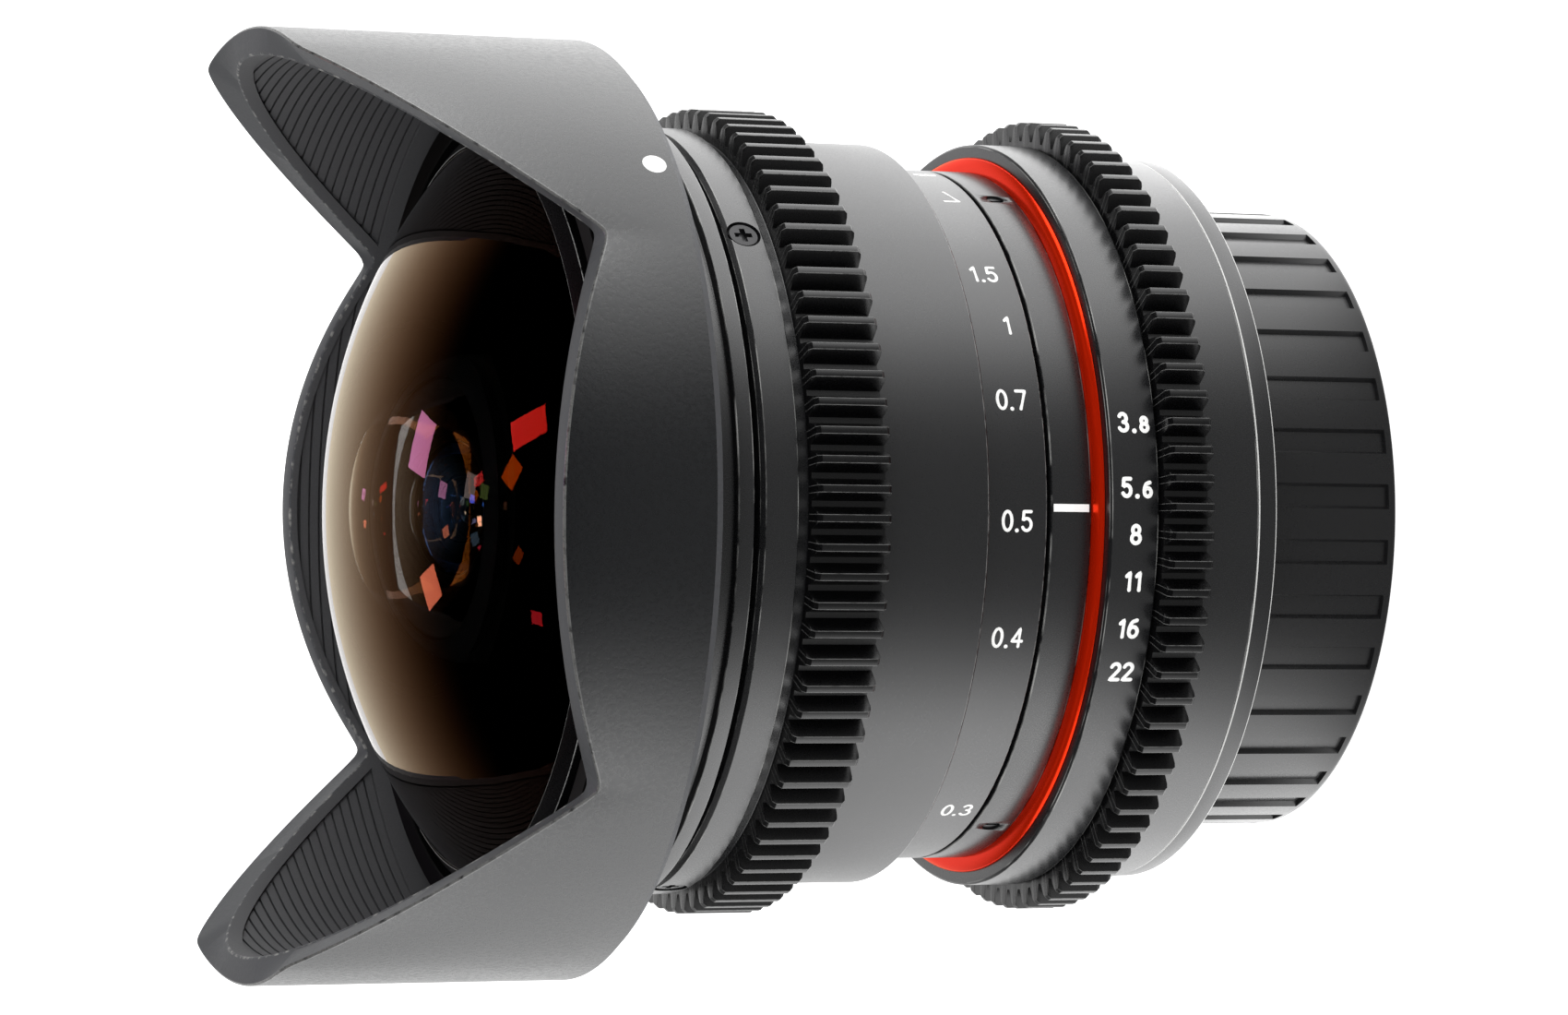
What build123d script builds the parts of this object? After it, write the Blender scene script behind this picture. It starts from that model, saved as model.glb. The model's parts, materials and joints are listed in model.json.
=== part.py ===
from build123d import *
import os
from math import asin, copysign, cos, degrees, pi, radians, sin, sqrt, tan

os.makedirs("parts", exist_ok=True)

# Fits and cuts
overrun = 1.0            # how far a cut runs past the face it opens
running = 0.05           # radial clearance of a turning or sliding fit
seat_gap = 0.02          # clearance between fixed pieces that seat in each other
thrust_gap = 0.2         # axial clearance between turning rings

# Rear cap
cap_height = 13.6
cap_lug_clear = 0.5      # between the bayonet's lugs and the cap's bore
cap_wall = 1.3
cap_floor = 1.6
cap_round = 0.5
cap_rim = 0.9            # smooth edge behind the grip grooves
cap_ribs = 36
cap_rib_depth = 0.6
cap_groove_angle = 4.4
cap_first_rib_angle = 269.25
cap_to_flange = 0.3
cap_lug_play = 0.15
cap_lug_span = 40.0

# Bayonet flange
male_length = 5.0
throat_wall = 2.7
bayonet_lug_height = 1.6
bayonet_lug_setback = 2.5
bayonet_lug_length = 1.5
bayonet_lug_span = 45.0
bayonet_first_angle = 90.0
plate_length = 1.5
plate_rim = 0.15         # how far the plate reaches past the main barrel
plate_proud = 0.7        # how far the plate stands behind the rear ring
flange_screws = 4
flange_screw_angle = 30.0
flange_screw_inset = 3.1  # from the plate's rim to the screw circle
male_step = 3.6          # from the screw circle to the male cylinder
flange_bore_step = 3.9   # from the screw circle to the bore of the barrel's flange
lock_pin_radius = 1.5
lock_pin_depth = 1.1

# Lengths of the rings, rear to front
rear_web = 1.0
rear_ring_chamfer = 0.15
ring_gap = 0.1
aperture_length = 14.8
aperture_gear_setback = 5.55
aperture_gear_face = 4.25
aperture_relief = 0.3
red_overlap = 0.8
red_length = 1.5
name_length = 3.9
focus_gap = 0.4
band_length = 6.4
grip_length = 10.35
focus_gear_face = 6.9
focus_relief = 1.15
focus_flange_length = 3.45
front_gap = 0.9
mount_ring_flange = 1.5
hood_gap = 3.75
hood_base_length = 4.0
mount_ring_rise = 0.45
seat_rise = 1.9

# Walls of the rings, inside to outside
skirt_radius = 27.5
skirt_wall = 2.0
barrel_front_wall = 2.05
seat_step = 1.55
barrel_step = 0.7
barrel_rear_wall = 2.35
aperture_wall = 2.4
aperture_swell = 0.6
rear_ring_drop = 0.1
name_wall = 1.13
red_proud = 0.5
red_clear = 0.1
thread_step = 0.8
nut_wall = 3.13
sleeve_wall = 1.9
grip_step = 1.1
gear_rim = 1.98
band_wall = 2.65
band_chamfer = 0.2
retainer_step = 0.7
retainer_length = 1.2
thread_run_in = 0.6
nut_setback = 2.0
lip_length = 0.35

# Gear teeth: module of a follow-focus drive
gear_module = 0.8
pressure_angle = 20.0
dedendum_share = 1.25
gear_chamfer = 0.35
focus_tooth_angle = 269.4     # where a tooth stands, from +X
aperture_tooth_angle = 271.5
relief_depth = 0.8
flange_drop = 0.05
flange_chamfer = 0.4

# Main barrel
barrel_flange_length = 2.5
guide_length = 15.4

# Focus drive
focus_near_angle = 57.7      # from the rest mark to the closest distance
focus_far_angle = 76.3       # from the rest mark to infinity
stop_pin_radius = 0.5
stop_pin_sink = 2.0
stop_pin_rise = 1.3
stop_pin_angle = 45.0
stop_pin_inset = 0.85
stop_spare_angle = 0.5
stop_groove_play = 0.15
focus_screw_angles = (-46.0, 74.0, 194.0)
focus_screw_recess = 0.95
focus_screw_reach = 4.85
key_angle = 0.0
key_width = 7.0
key_length = 3.6
key_drop = 0.7
key_sink = 1.6
key_reach = 1.8
key_screw_half = 2.2
key_slot_spare = 1.0

# Screws
cross_share = 0.62
cross_width_share = 0.2
cross_depth_share = 0.55
flange_screw_head = 1.9
flange_screw_head_length = 1.0
flange_screw_shank = 1.0
flange_screw_length = 4.4
focus_screw_head = 1.3
focus_screw_head_length = 0.8
focus_screw_shank = 0.7
focus_screw_recess_radius = 1.55
small_screw_head = 1.1
small_screw_head_length = 0.9
small_screw_shank = 0.6
small_screw_length = 3.6
grub_radius = 0.8
grub_length = 1.7
grub_sink = 0.2
grub_setback = 1.9
grub_angles = (-26.0, -152.0, 90.0)
lever_screw_head = 0.85
lever_screw_head_length = 0.55
lever_screw_shank = 0.5
lever_screw_length = 2.9
lever_screw_half = 1.4

# Hood and its bayonet
seat_inset = 4.02         # from the dome's rim to the outside of its seat
cell_step = 1.5
cell_flange_step = 1.5
cell_flange_length = 0.5
mount_ring_wall = 3.98
mount_ring_brim = 1.0
hood_play = 0.1
hood_base_width = 8.0
hood_wall = 2.6
hood_chamfer = 0.8
collar_gap = 0.8
collar_wall = 2.3
collar_rise = 3.85
hood_lug_reach = 1.5
hood_lug_root = 0.5
hood_lug_setback = 1.25
hood_lug_length = 1.5
hood_lug_span = 34.0
hood_lug_angle = 30.0
hood_slot_spare = 4.0
hood_turn = 43.0
notch_inset = 19.18      # from the hood's radius to the foot of a long petal, seen along Y
notch_height = 8.25
notch_round = 1.5
short_petal_height = 14.55
long_petal_height = 30.45
tip_inset = 2.58         # from the hood's radius to the start of a long petal's tip
tip_round = 2.0
short_frame = 0.8
long_frame = 1.9
panel_depth = 0.25
panel_rise = 0.6
rib_pitch = 1.0
rib_groove = 0.35
rib_groove_depth = 0.35

# Glass elements, front to rear: radii of curvature are positive when the centre lies behind the surface
lens_1_radius = 33.5
lens_1_front = 51.7
lens_1_back = 17.5
lens_1_back_clear = 16.6
lens_1_centre = 2.6
lens_2_radius = 15.0
lens_2_front = 60.0
lens_2_front_clear = 14.2
lens_2_back = 12.5
lens_2_back_clear = 10.8
lens_2_centre = 1.6
lens_2_drop = 5.4
lens_3_radius = 10.2
lens_3_front = -80.0
lens_3_front_clear = 9.4
lens_3_back = 14.0
lens_3_back_clear = 8.6
lens_3_centre = 1.4
lens_3_drop = 6.15
lens_4_radius = 9.0
lens_4_front = 22.0
lens_4_front_clear = 8.2
lens_4_back = -16.0
lens_4_centre = 5.5
lens_4_drop = 4.1
lens_5_back = 60.0
lens_5_back_clear = 8.0
lens_5_centre = 1.5
lens_6_radius = 7.0
lens_6_front = 30.0
lens_6_front_clear = 6.4
lens_6_back = -12.0
lens_6_centre = 4.0
lens_7_back = -30.0
lens_7_back_clear = 6.3
lens_7_centre = 1.2
lens_7_setback = 5.1
lens_8_radius = 8.0
lens_8_front = 25.0
lens_8_front_clear = 7.3
lens_8_back = -14.0
lens_8_centre = 4.2
lens_8_drop = 3.25
lens_9_back = -45.0
lens_9_back_clear = 7.3
lens_9_centre = 1.4
lens_10_radius = 9.0
lens_10_front = 40.0
lens_10_front_clear = 8.2
lens_10_back = -28.0
lens_10_back_clear = 8.2
lens_10_centre = 4.0
lens_10_drop = 6.15
cement_gap = 0.03
glass_gap = 0.04
glass_play = 0.05

# Lens cell and the rings that hold the front glass
bezel_lip = 0.2          # how far the bezel reaches over the dome's rim
bezel_lip_length = 0.12
bezel_wall = 1.05
bezel_slope = 1.0        # how far the bezel's front falls from the lip to its edge
front_retainer_wall = 0.75
front_retainer_depth = 1.5
front_retainer_rise = 1.3
front_retainer_lip = 0.45
front_retainer_lip_reach = 1.9
front_spacer_step = 1.35
shoulder_clear = 0.1
doublet_retainer_length = 1.5
doublet_retainer_wall = 1.0
tube_wall = 4.45
tube_bore_step = 1.45
tube_bore_length = 8.35
tube_thread_wall = 1.7
tube_thread_length = 2.9
web_back_drop = 11.1
web_pocket_drop = 8.6
web_pocket_inset = 1.75
web_rim = 4.18
skirt_length = 14.5

# Iris and rear cell
iris_setback = 9.1           # from the aperture ring's front to the pivot plate
iris_blades = 6
iris_first_angle = 15.0
pivot_circle = 9.6
pivot_pin_radius = 0.35
pin_play = 0.05
blade_inner = 4.9
blade_outer = 8.2
blade_start_angle = -4.0
blade_end_angle = 125.0
blade_length = 0.15          # thickness of one blade
blade_pitch = 0.27           # from one blade's level to the next
blade_ear_outer = 10.8
blade_ear_start_angle = -7.0
blade_ear_end_angle = 22.0
blade_ear_overlap = 0.2
drive_pin_circle = 9.8
drive_pin_angle = 15.0
iris_open_radius = 3.6
iris_closed_radius = 0.62
aperture_open_angle = 12.65  # from the rest mark to the widest stop
aperture_closed_angle = 24.65
pivot_plate_length = 1.2
pivot_plate_bore = 5.2
pivot_pin_length = 0.9
housing_rim = 2.28       # from the tube's thread to the outside of the housing
housing_wall = 1.3
housing_depth = 6.5
housing_play = 0.08
drive_ring_length = 1.5
drive_ring_bore = 5.6
drive_ring_drop = 2.1
drive_pin_bite = 1.1
cover_gap = 0.2
cover_length = 1.2
fork_length = 2.4        # from the fork's slot to its end
fork_bite = 0.6          # how far the fork starts inside the housing's bore
fork_width = 4.4
fork_clear = 1.7         # from the housing to the fork's slot
fork_play = 0.05
window_spare_angle = 1.5
window_play = 0.2
rear_cell_flange = 1.4
rear_cell_radius = 10.6
rear_cell_back = 15.0
lens_7_seat_step = 0.7
lens_8_seat_step = 0.65
lens_8_seat_length = 0.75
rear_retainer_wall = 0.75
rear_retainer_length = 1.55
doublet_stop_length = 1.2
doublet_stop_wall = 0.6
rear_spacer_wall = 0.6
rear_spacer_rise = 0.2

# Aperture lever
lever_angle = 90.0
lever_setback = 3.1
lever_foot_length = 3.4
lever_arm_length = 1.4
lever_width = 5.0
lever_foot_inner_step = 0.85
lever_foot_sink = 1.4
finger_clear = 0.1       # from the root of the fork's slot to the finger
finger_size = 1.4
finger_past_fork = 1.2
lever_slot_play = 0.3
lever_stop_angle = 0.5

# Rear baffle
baffle_gap = 0.05
baffle_play = 0.4
baffle_cone_drop = 1.3
baffle_cone_inset = 1.6

# Stations along the axis
flange_z = cap_height + cap_to_flange
male_back = flange_z - male_length
bayonet_lug_front = flange_z - bayonet_lug_setback
bayonet_lug_back = bayonet_lug_front - bayonet_lug_length
plate_front = flange_z + plate_length
rear_ring_back = flange_z + plate_proud
rear_ring_front = plate_front + rear_web
aperture_back = rear_ring_front + ring_gap
aperture_front = aperture_back + aperture_length
aperture_gear_back = aperture_back + aperture_gear_setback
aperture_gear_front = aperture_gear_back + aperture_gear_face
red_back = aperture_front - red_overlap
red_front = red_back + red_length
name_front = red_front + name_length
focus_back = name_front + focus_gap
band_front = focus_back + band_length
grip_front = band_front + grip_length
focus_gear_front = grip_front + focus_gear_face
focus_flange_back = focus_gear_front + focus_relief
focus_front = focus_flange_back + focus_flange_length
sleeve_front = focus_front - lip_length - seat_gap
band_step = band_front - band_chamfer - ring_gap
retainer_back = band_step + thrust_gap
retainer_front = retainer_back + retainer_length
barrel_front = retainer_front + ring_gap
thread_back = barrel_front + thread_run_in
nut_back = thread_back + nut_setback
mount_ring_back = focus_front + front_gap
cell_flange_back = mount_ring_back - cell_flange_length
hood_back = mount_ring_back + mount_ring_flange + hood_gap
hood_base_front = hood_back + hood_base_length
hood_lug_back = hood_back + hood_lug_setback
hood_lug_front = hood_lug_back + hood_lug_length
collar_front = hood_base_front + collar_rise
hood_top = hood_back + long_petal_height
mount_ring_front = hood_base_front + mount_ring_rise
cup_seat = mount_ring_front + seat_rise

# Radii of the rings
guide_radius = skirt_radius + running
bearing_radius = guide_radius + barrel_front_wall
seat_radius = bearing_radius + seat_step
barrel_radius = seat_radius + barrel_step
plate_radius = barrel_radius + plate_rim
screw_circle = plate_radius - flange_screw_inset
flange_bore_radius = screw_circle - flange_bore_step
male_radius = screw_circle - male_step
throat_radius = male_radius - throat_wall
cap_bore = male_radius + bayonet_lug_height + cap_lug_clear
cap_radius = cap_bore + cap_wall + cap_rib_depth
aperture_bore = barrel_radius + running
aperture_rear_radius = aperture_bore + aperture_wall
aperture_front_radius = aperture_rear_radius + aperture_swell
rear_ring_radius = aperture_rear_radius - rear_ring_drop
rear_web_bore = flange_bore_radius + rear_web
name_radius = seat_radius + seat_gap + name_wall
red_radius = name_radius + red_proud
lip_bore = red_radius + red_clear
thread_radius = skirt_radius + thread_step
nut_bore = thread_radius + running
nut_radius = nut_bore + nut_wall
sleeve_bore = nut_radius + seat_gap
gear_seat = sleeve_bore + sleeve_wall
gear_bore = gear_seat + seat_gap
grip_radius = gear_seat + grip_step
band_bore = bearing_radius + running
band_radius = band_bore + band_wall
retainer_seat = bearing_radius - retainer_step
retainer_radius = sleeve_bore - running
cup_radius = lens_1_radius - seat_inset
cell_front_radius = cup_radius + cell_step
mount_ring_bore = cell_front_radius + seat_gap
mount_ring_radius = mount_ring_bore + mount_ring_wall
hood_bore = mount_ring_radius + hood_play
hood_radius = hood_bore + hood_base_width
hood_inner = hood_radius - hood_wall
collar_inner = hood_bore + collar_gap
collar_outer = collar_inner + collar_wall
bezel_bore = lens_1_radius + glass_play
bezel_radius = bezel_bore + bezel_wall
notch_half = hood_radius - notch_inset
tip_half = hood_radius - tip_inset

# Gear sizes: as many whole teeth as give the rim its thickness
gear_teeth = round(2 * (gear_bore + gear_rim) / gear_module + 2 * dedendum_share)
pitch_radius = gear_teeth * gear_module / 2
tip_radius = pitch_radius + gear_module
root_radius = pitch_radius - dedendum_share * gear_module
focus_flange_radius = root_radius - flange_drop
focus_screw_z = (focus_flange_back + focus_front) / 2

# Guide key: its screw heads lie flush under the name ring
key_back = name_front - key_drop - key_length
key_outer = guide_radius + key_sink
key_inner = guide_radius - key_reach
key_screw_top = sqrt(seat_radius ** 2 - (key_screw_half + small_screw_head) ** 2) - seat_gap

# Iris motion: the blade's arc moves off the axis as it turns about its pivot
blade_open_angle = 2 * degrees(asin((blade_inner - iris_open_radius) / (2 * pivot_circle)))
blade_closed_angle = 2 * degrees(asin((blade_inner - iris_closed_radius) / (2 * pivot_circle)))
blade_ratio = (blade_closed_angle - blade_open_angle) / (aperture_open_angle + aperture_closed_angle)
blade_rest_angle = blade_open_angle + blade_ratio * aperture_open_angle


def polar(radius, angle):
    """A point in the XY plane."""
    return (radius * cos(radians(angle)), radius * sin(radians(angle)))


def turned(points, arc=360.0):
    """A solid of revolution about Z from a closed outline of (radius, height) points."""
    outline = Polyline(*[(radius, 0, height) for radius, height in points], close=True)
    return revolve(make_face(outline), axis=Axis.Z, revolution_arc=arc)


def ring(inner, outer, back, front):
    """A plain ring from two radii and two stations."""
    return turned([(inner, back), (outer, back), (outer, front), (inner, front)])


def sector_face(inner, outer, start, end):
    """A flat piece of a ring between two angles in degrees."""
    middle = (start + end) / 2
    outside = ThreePointArc(polar(outer, start), polar(outer, middle), polar(outer, end))
    inside = ThreePointArc(polar(inner, end), polar(inner, middle), polar(inner, start))
    sides = [Line(outside @ 1, inside @ 0), Line(inside @ 1, outside @ 0)]
    return make_face([outside, sides[0], inside, sides[1]])


def sector(inner, outer, start, end, back, front):
    """A piece of a ring between two angles and two stations."""
    return Pos(0, 0, back) * extrude(sector_face(inner, outer, start, end), front - back)


def lugs(inner, outer, centre, span, back, front):
    """Three equal bayonet lugs, or the spaces for them."""
    turns = [centre + 120 * index for index in range(3)]
    return [sector(inner, outer, turn - span / 2, turn + span / 2, back, front) for turn in turns]


def block(inner, outer, width, back, front):
    """A straight block along +X, centred on the X-Z plane."""
    return Pos((inner + outer) / 2, 0, (back + front) / 2) * Box(outer - inner, width, front - back)


def rod(radius, low, high):
    """A round bar along Z between two heights."""
    return Pos(0, 0, (low + high) / 2) * Cylinder(radius, high - low)


def outward(angle, radius, height, side=0.0):
    """The place where a piece drawn along +Z points outwards from the axis."""
    return Rot(0, 0, angle) * Pos(radius, side, height) * Rot(0, 90, 0)


def cross_recess(head_radius, head_length):
    """The tool for a cross-head recess whose mouth is at height zero."""
    reach = 2 * head_radius * cross_share
    width = 2 * head_radius * cross_width_share
    depth = head_length * cross_depth_share
    bar = Pos(0, 0, (overrun - depth) / 2) * Box(reach, width, depth + overrun)
    return bar + Rot(0, 0, 90) * bar


def screw(head_radius, head_length, shank_radius, length):
    """A pan-head screw along Z: the head's top is at height zero and the shank points down."""
    body = rod(head_radius, -head_length, 0) + rod(shank_radius, -head_length - length, -head_length)
    return body - cross_recess(head_radius, head_length)


def countersunk_screw(head_radius, head_length, shank_radius, length):
    """A countersunk screw along Z: the head's top is at height zero and the shank points down."""
    outline = [(0, 0), (head_radius, 0), (shank_radius, -head_length), (shank_radius, -length), (0, -length)]
    return turned(outline) - cross_recess(head_radius, head_length)


def surface_z(vertex, curvature, height):
    """Where a lens surface lies at a height from the axis."""
    sag = abs(curvature) - sqrt(curvature ** 2 - height ** 2)
    return vertex - copysign(sag, curvature)


def sagged(flat, curvature, clear):
    """The vertex of a lens surface from its flat rim and clear radius."""
    return flat + (flat - surface_z(flat, curvature, clear))


def surface_arc(vertex, curvature, clear):
    """One lens surface in section, from the axis outwards."""
    middle = clear / 2
    places = [(height, 0, surface_z(vertex, curvature, height)) for height in (0, middle, clear)]
    return ThreePointArc(*places)


def element(front, front_curve, front_clear, back, back_curve, back_clear, radius):
    """A lens element from the vertex, curvature and clear radius of each side and its edge radius."""
    front_arc = surface_arc(front, front_curve, front_clear)
    back_arc = surface_arc(back, back_curve, back_clear)
    rim_front = surface_z(front, front_curve, front_clear)
    rim_back = surface_z(back, back_curve, back_clear)
    edge = [(radius, 0, rim_front), (radius, 0, rim_back)]
    if front_clear < radius:
        edge.insert(0, front_arc @ 1)
    if back_clear < radius:
        edge.append(back_arc @ 1)
    outline = [front_arc, Polyline(*edge), back_arc, Line(back_arc @ 0, front_arc @ 0)]
    return revolve(make_face(outline), axis=Axis.Z)


def gear_band(bore, back, front, first_angle):
    """A ring of straight teeth with chamfered ends."""
    quarter = pi / (2 * gear_teeth)
    slope = tan(radians(pressure_angle)) / pitch_radius
    at_tip = degrees(quarter - slope * (tip_radius - pitch_radius))
    at_root = degrees(quarter + slope * (pitch_radius - root_radius))
    outline = []
    for tooth in range(gear_teeth):
        middle = first_angle + 360 * tooth / gear_teeth
        outline += [polar(root_radius, middle - at_root), polar(tip_radius, middle - at_tip)]
        outline += [polar(tip_radius, middle + at_tip), polar(root_radius, middle + at_root)]
    teeth = Pos(0, 0, back) * extrude(make_face(Polyline(*outline, close=True)), front - back)
    near = tip_radius - gear_chamfer
    envelope = turned([(bore, back), (near, back), (tip_radius, back + gear_chamfer),
                       (tip_radius, front - gear_chamfer), (near, front), (bore, front)])
    return teeth & envelope


def rear_cap():
    """Push-on and twist cap: grooved wall, smooth rear edge and three inner lugs."""
    corner = cap_radius - cap_round
    lean = cap_round * (1 - sqrt(0.5))
    bend = ThreePointArc((corner, 0, 0), (cap_radius - lean, 0, lean), (cap_radius, 0, cap_round))
    rest = Polyline((cap_radius, 0, cap_round), (cap_radius, 0, cap_height), (cap_bore, 0, cap_height),
                    (cap_bore, 0, cap_floor), (0, 0, cap_floor), (0, 0, 0), (corner, 0, 0))
    shell = revolve(make_face([bend, rest]), axis=Axis.Z)
    floor_radius = cap_radius - cap_rib_depth
    outside, above = cap_radius + overrun, cap_height + overrun
    groove = Polyline((floor_radius, 0, cap_rim), (outside, 0, cap_rim), (outside, 0, above),
                      (floor_radius, 0, above), (floor_radius, 0, cap_rim))
    groove = revolve(make_face(groove), axis=Axis.Z, revolution_arc=cap_groove_angle)
    pitch = 360 / cap_ribs
    first = cap_first_rib_angle + (pitch - cap_groove_angle) / 2
    shell -= [Rot(0, 0, first + pitch * index) * groove for index in range(cap_ribs)]
    lug_inner = male_radius + cap_lug_play
    lug_back = bayonet_lug_front + cap_lug_play
    lug_front = cap_height - cap_lug_play
    return shell + lugs(lug_inner, cap_bore + cap_wall / 2, bayonet_first_angle, cap_lug_span,
                        lug_back, lug_front)


def flange_screw_holes(radius, low, high):
    """The four axial holes of the flange screws."""
    turns = [flange_screw_angle + 360 * index / flange_screws for index in range(flange_screws)]
    return [Pos(*polar(screw_circle, turn), 0) * rod(radius, low, high) for turn in turns]


def mount_flange():
    """Metal flange plate with the male cylinder and its three bayonet lugs."""
    body = turned([(throat_radius, male_back), (male_radius, male_back), (male_radius, flange_z),
                   (plate_radius, flange_z), (plate_radius, plate_front), (throat_radius, plate_front)])
    lug_outer = male_radius + bayonet_lug_height
    body += lugs(male_radius - throat_wall / 2, lug_outer, bayonet_first_angle, bayonet_lug_span,
                 bayonet_lug_back, bayonet_lug_front)
    sink = turned([(0, flange_z), (flange_screw_head + seat_gap, flange_z),
                   (flange_screw_shank + seat_gap, flange_z + flange_screw_head_length),
                   (0, flange_z + flange_screw_head_length)])
    for index in range(flange_screws):
        turn = flange_screw_angle + 360 * index / flange_screws
        body -= Pos(*polar(screw_circle, turn), 0) * sink
    body -= flange_screw_holes(flange_screw_shank + seat_gap, flange_z, plate_front + overrun)
    lock = rod(lock_pin_radius, flange_z - overrun, flange_z + lock_pin_depth)
    return body - Pos(*polar(screw_circle, bayonet_first_angle - bayonet_lug_span), 0) * lock


def mount_screws():
    """Four countersunk screws whose heads lie flush in the flange plate."""
    body = countersunk_screw(flange_screw_head, flange_screw_head_length, flange_screw_shank,
                             flange_screw_length)
    upright = Rot(180, 0, 0) * body
    turns = [flange_screw_angle + 360 * index / flange_screws for index in range(flange_screws)]
    return [Pos(*polar(screw_circle, turn), flange_z) * upright for turn in turns]


def rear_ring():
    """Fixed ring behind the aperture ring, seated round the flange plate."""
    recess = plate_radius + seat_gap
    edge = rear_ring_radius - rear_ring_chamfer
    body = turned([(rear_web_bore, plate_front), (recess, plate_front), (recess, rear_ring_back),
                   (edge, rear_ring_back), (rear_ring_radius, rear_ring_back + rear_ring_chamfer),
                   (rear_ring_radius, rear_ring_front - rear_ring_chamfer), (edge, rear_ring_front),
                   (rear_web_bore, rear_ring_front)])
    return body - flange_screw_holes(flange_screw_shank + seat_gap, plate_front - overrun,
                                     rear_ring_front + overrun)


def rear_baffle():
    """Thin dished plate between the throat and the rear cell."""
    back = plate_front + baffle_gap
    front = rear_ring_front - baffle_gap
    rim = rear_web_bore - baffle_gap
    hole = rear_cell_radius + baffle_play
    cone = throat_radius - baffle_cone_inset
    dish_back = back - baffle_cone_drop
    dish_front = front - baffle_cone_drop
    return turned([(hole, dish_back), (cone, back), (rim, back), (rim, front), (cone, front),
                   (hole, dish_front)])


def lever_slot():
    """The window in the main barrel whose ends stop the aperture ring."""
    half = degrees(asin(lever_width / (2 * barrel_radius))) + lever_stop_angle
    start = lever_angle - aperture_open_angle - half
    end = lever_angle + aperture_closed_angle + half
    back = aperture_back + lever_setback - lever_slot_play
    front = aperture_back + lever_setback + lever_foot_length + lever_slot_play
    return sector(guide_radius, barrel_radius + overrun, start, end, back, front)


def grub_places(radius):
    """The three radial places of the name ring's grub screws."""
    height = name_front - grub_setback
    return [outward(angle, radius, height) for angle in grub_angles]


def key_screw_places(radius):
    """The two radial places of the guide key's screws."""
    height = key_back + key_length / 2
    return [outward(key_angle, radius, height, side) for side in (-key_screw_half, key_screw_half)]


def main_barrel():
    """Fixed barrel: rear flange, seat of the name ring, bearings of both rings and the cell's guide."""
    relief = barrel_radius - barrel_rear_wall
    flange_front = rear_ring_front + barrel_flange_length
    guide_back = barrel_front - guide_length
    body = turned([(flange_bore_radius, rear_ring_front), (barrel_radius, rear_ring_front),
                   (barrel_radius, red_back), (seat_radius, red_back), (seat_radius, name_front),
                   (bearing_radius, name_front), (bearing_radius, retainer_back - ring_gap),
                   (retainer_seat, retainer_back - ring_gap), (retainer_seat, barrel_front),
                   (guide_radius, barrel_front), (guide_radius, guide_back), (relief, guide_back),
                   (relief, flange_front), (flange_bore_radius, flange_front)])
    body -= flange_screw_holes(flange_screw_shank + seat_gap, rear_ring_front - overrun,
                               flange_front + overrun)
    body -= lever_slot()
    body -= Rot(0, 0, key_angle) * block(guide_radius - overrun, key_outer + seat_gap,
                                         key_width + 2 * seat_gap, key_back, key_back + key_length + seat_gap)
    head = rod(small_screw_head + seat_gap, -small_screw_head_length - seat_gap, overrun)
    shank = rod(small_screw_shank + seat_gap, -small_screw_head_length - small_screw_length, 0)
    body -= [place * (head + shank) for place in key_screw_places(key_screw_top)]
    grub = rod(grub_radius + seat_gap, -grub_length - seat_gap, overrun)
    body -= [place * grub for place in grub_places(name_radius - grub_sink)]
    pin = rod(stop_pin_radius + seat_gap, name_front - stop_pin_sink - seat_gap, name_front + overrun)
    return body - Pos(*polar(bearing_radius + stop_pin_inset, stop_pin_angle), 0) * pin


def name_ring():
    """Fixed ring that carries the index line."""
    body = ring(seat_radius + seat_gap, name_radius, red_front + seat_gap, name_front)
    hole = rod(grub_radius + seat_gap, -grub_length, overrun)
    return body - [place * hole for place in grub_places(name_radius - grub_sink)]


def name_ring_screws():
    """Three grub screws with a slot across the head."""
    body = rod(grub_radius, -grub_length, 0)
    width = 2 * grub_radius * cross_width_share
    slot_depth = grub_length * cross_width_share
    slot = Box(2 * grub_radius + overrun, width, 2 * slot_depth)
    return [place * (body - slot) for place in grub_places(name_radius - grub_sink)]


def red_ring():
    """Coloured ring with a rounded outside."""
    inner = seat_radius + seat_gap
    middle = (red_back + red_front) / 2
    bead = ThreePointArc((name_radius, 0, red_back), (red_radius, 0, middle), (name_radius, 0, red_front))
    rest = Polyline((name_radius, 0, red_front), (inner, 0, red_front), (inner, 0, red_back),
                    (name_radius, 0, red_back))
    return revolve(make_face([bead, rest]), axis=Axis.Z)


def focus_key():
    """Straight key that keeps the lens cell from turning."""
    body = block(key_inner, key_outer, key_width, key_back, key_back + key_length)
    hole = rod(small_screw_shank + seat_gap, -small_screw_head_length - small_screw_length - overrun, overrun)
    turned_back = Rot(0, 0, -key_angle)
    body -= [turned_back * place * hole for place in key_screw_places(key_screw_top)]
    return Rot(0, 0, key_angle) * body


def focus_key_screws():
    """Two screws from outside the barrel into the key."""
    body = screw(small_screw_head, small_screw_head_length, small_screw_shank, small_screw_length)
    return [place * body for place in key_screw_places(key_screw_top)]


def focus_stop_pin():
    """Pin in the barrel's shoulder that runs in the focus ring's groove."""
    pin = rod(stop_pin_radius, name_front - stop_pin_sink, name_front + focus_gap + stop_pin_rise)
    return Pos(*polar(bearing_radius + stop_pin_inset, stop_pin_angle), 0) * pin


def focus_retainer():
    """Ring on the barrel's front end that keeps the focus ring on."""
    return ring(retainer_seat + seat_gap, retainer_radius, retainer_back, retainer_front)


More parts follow.
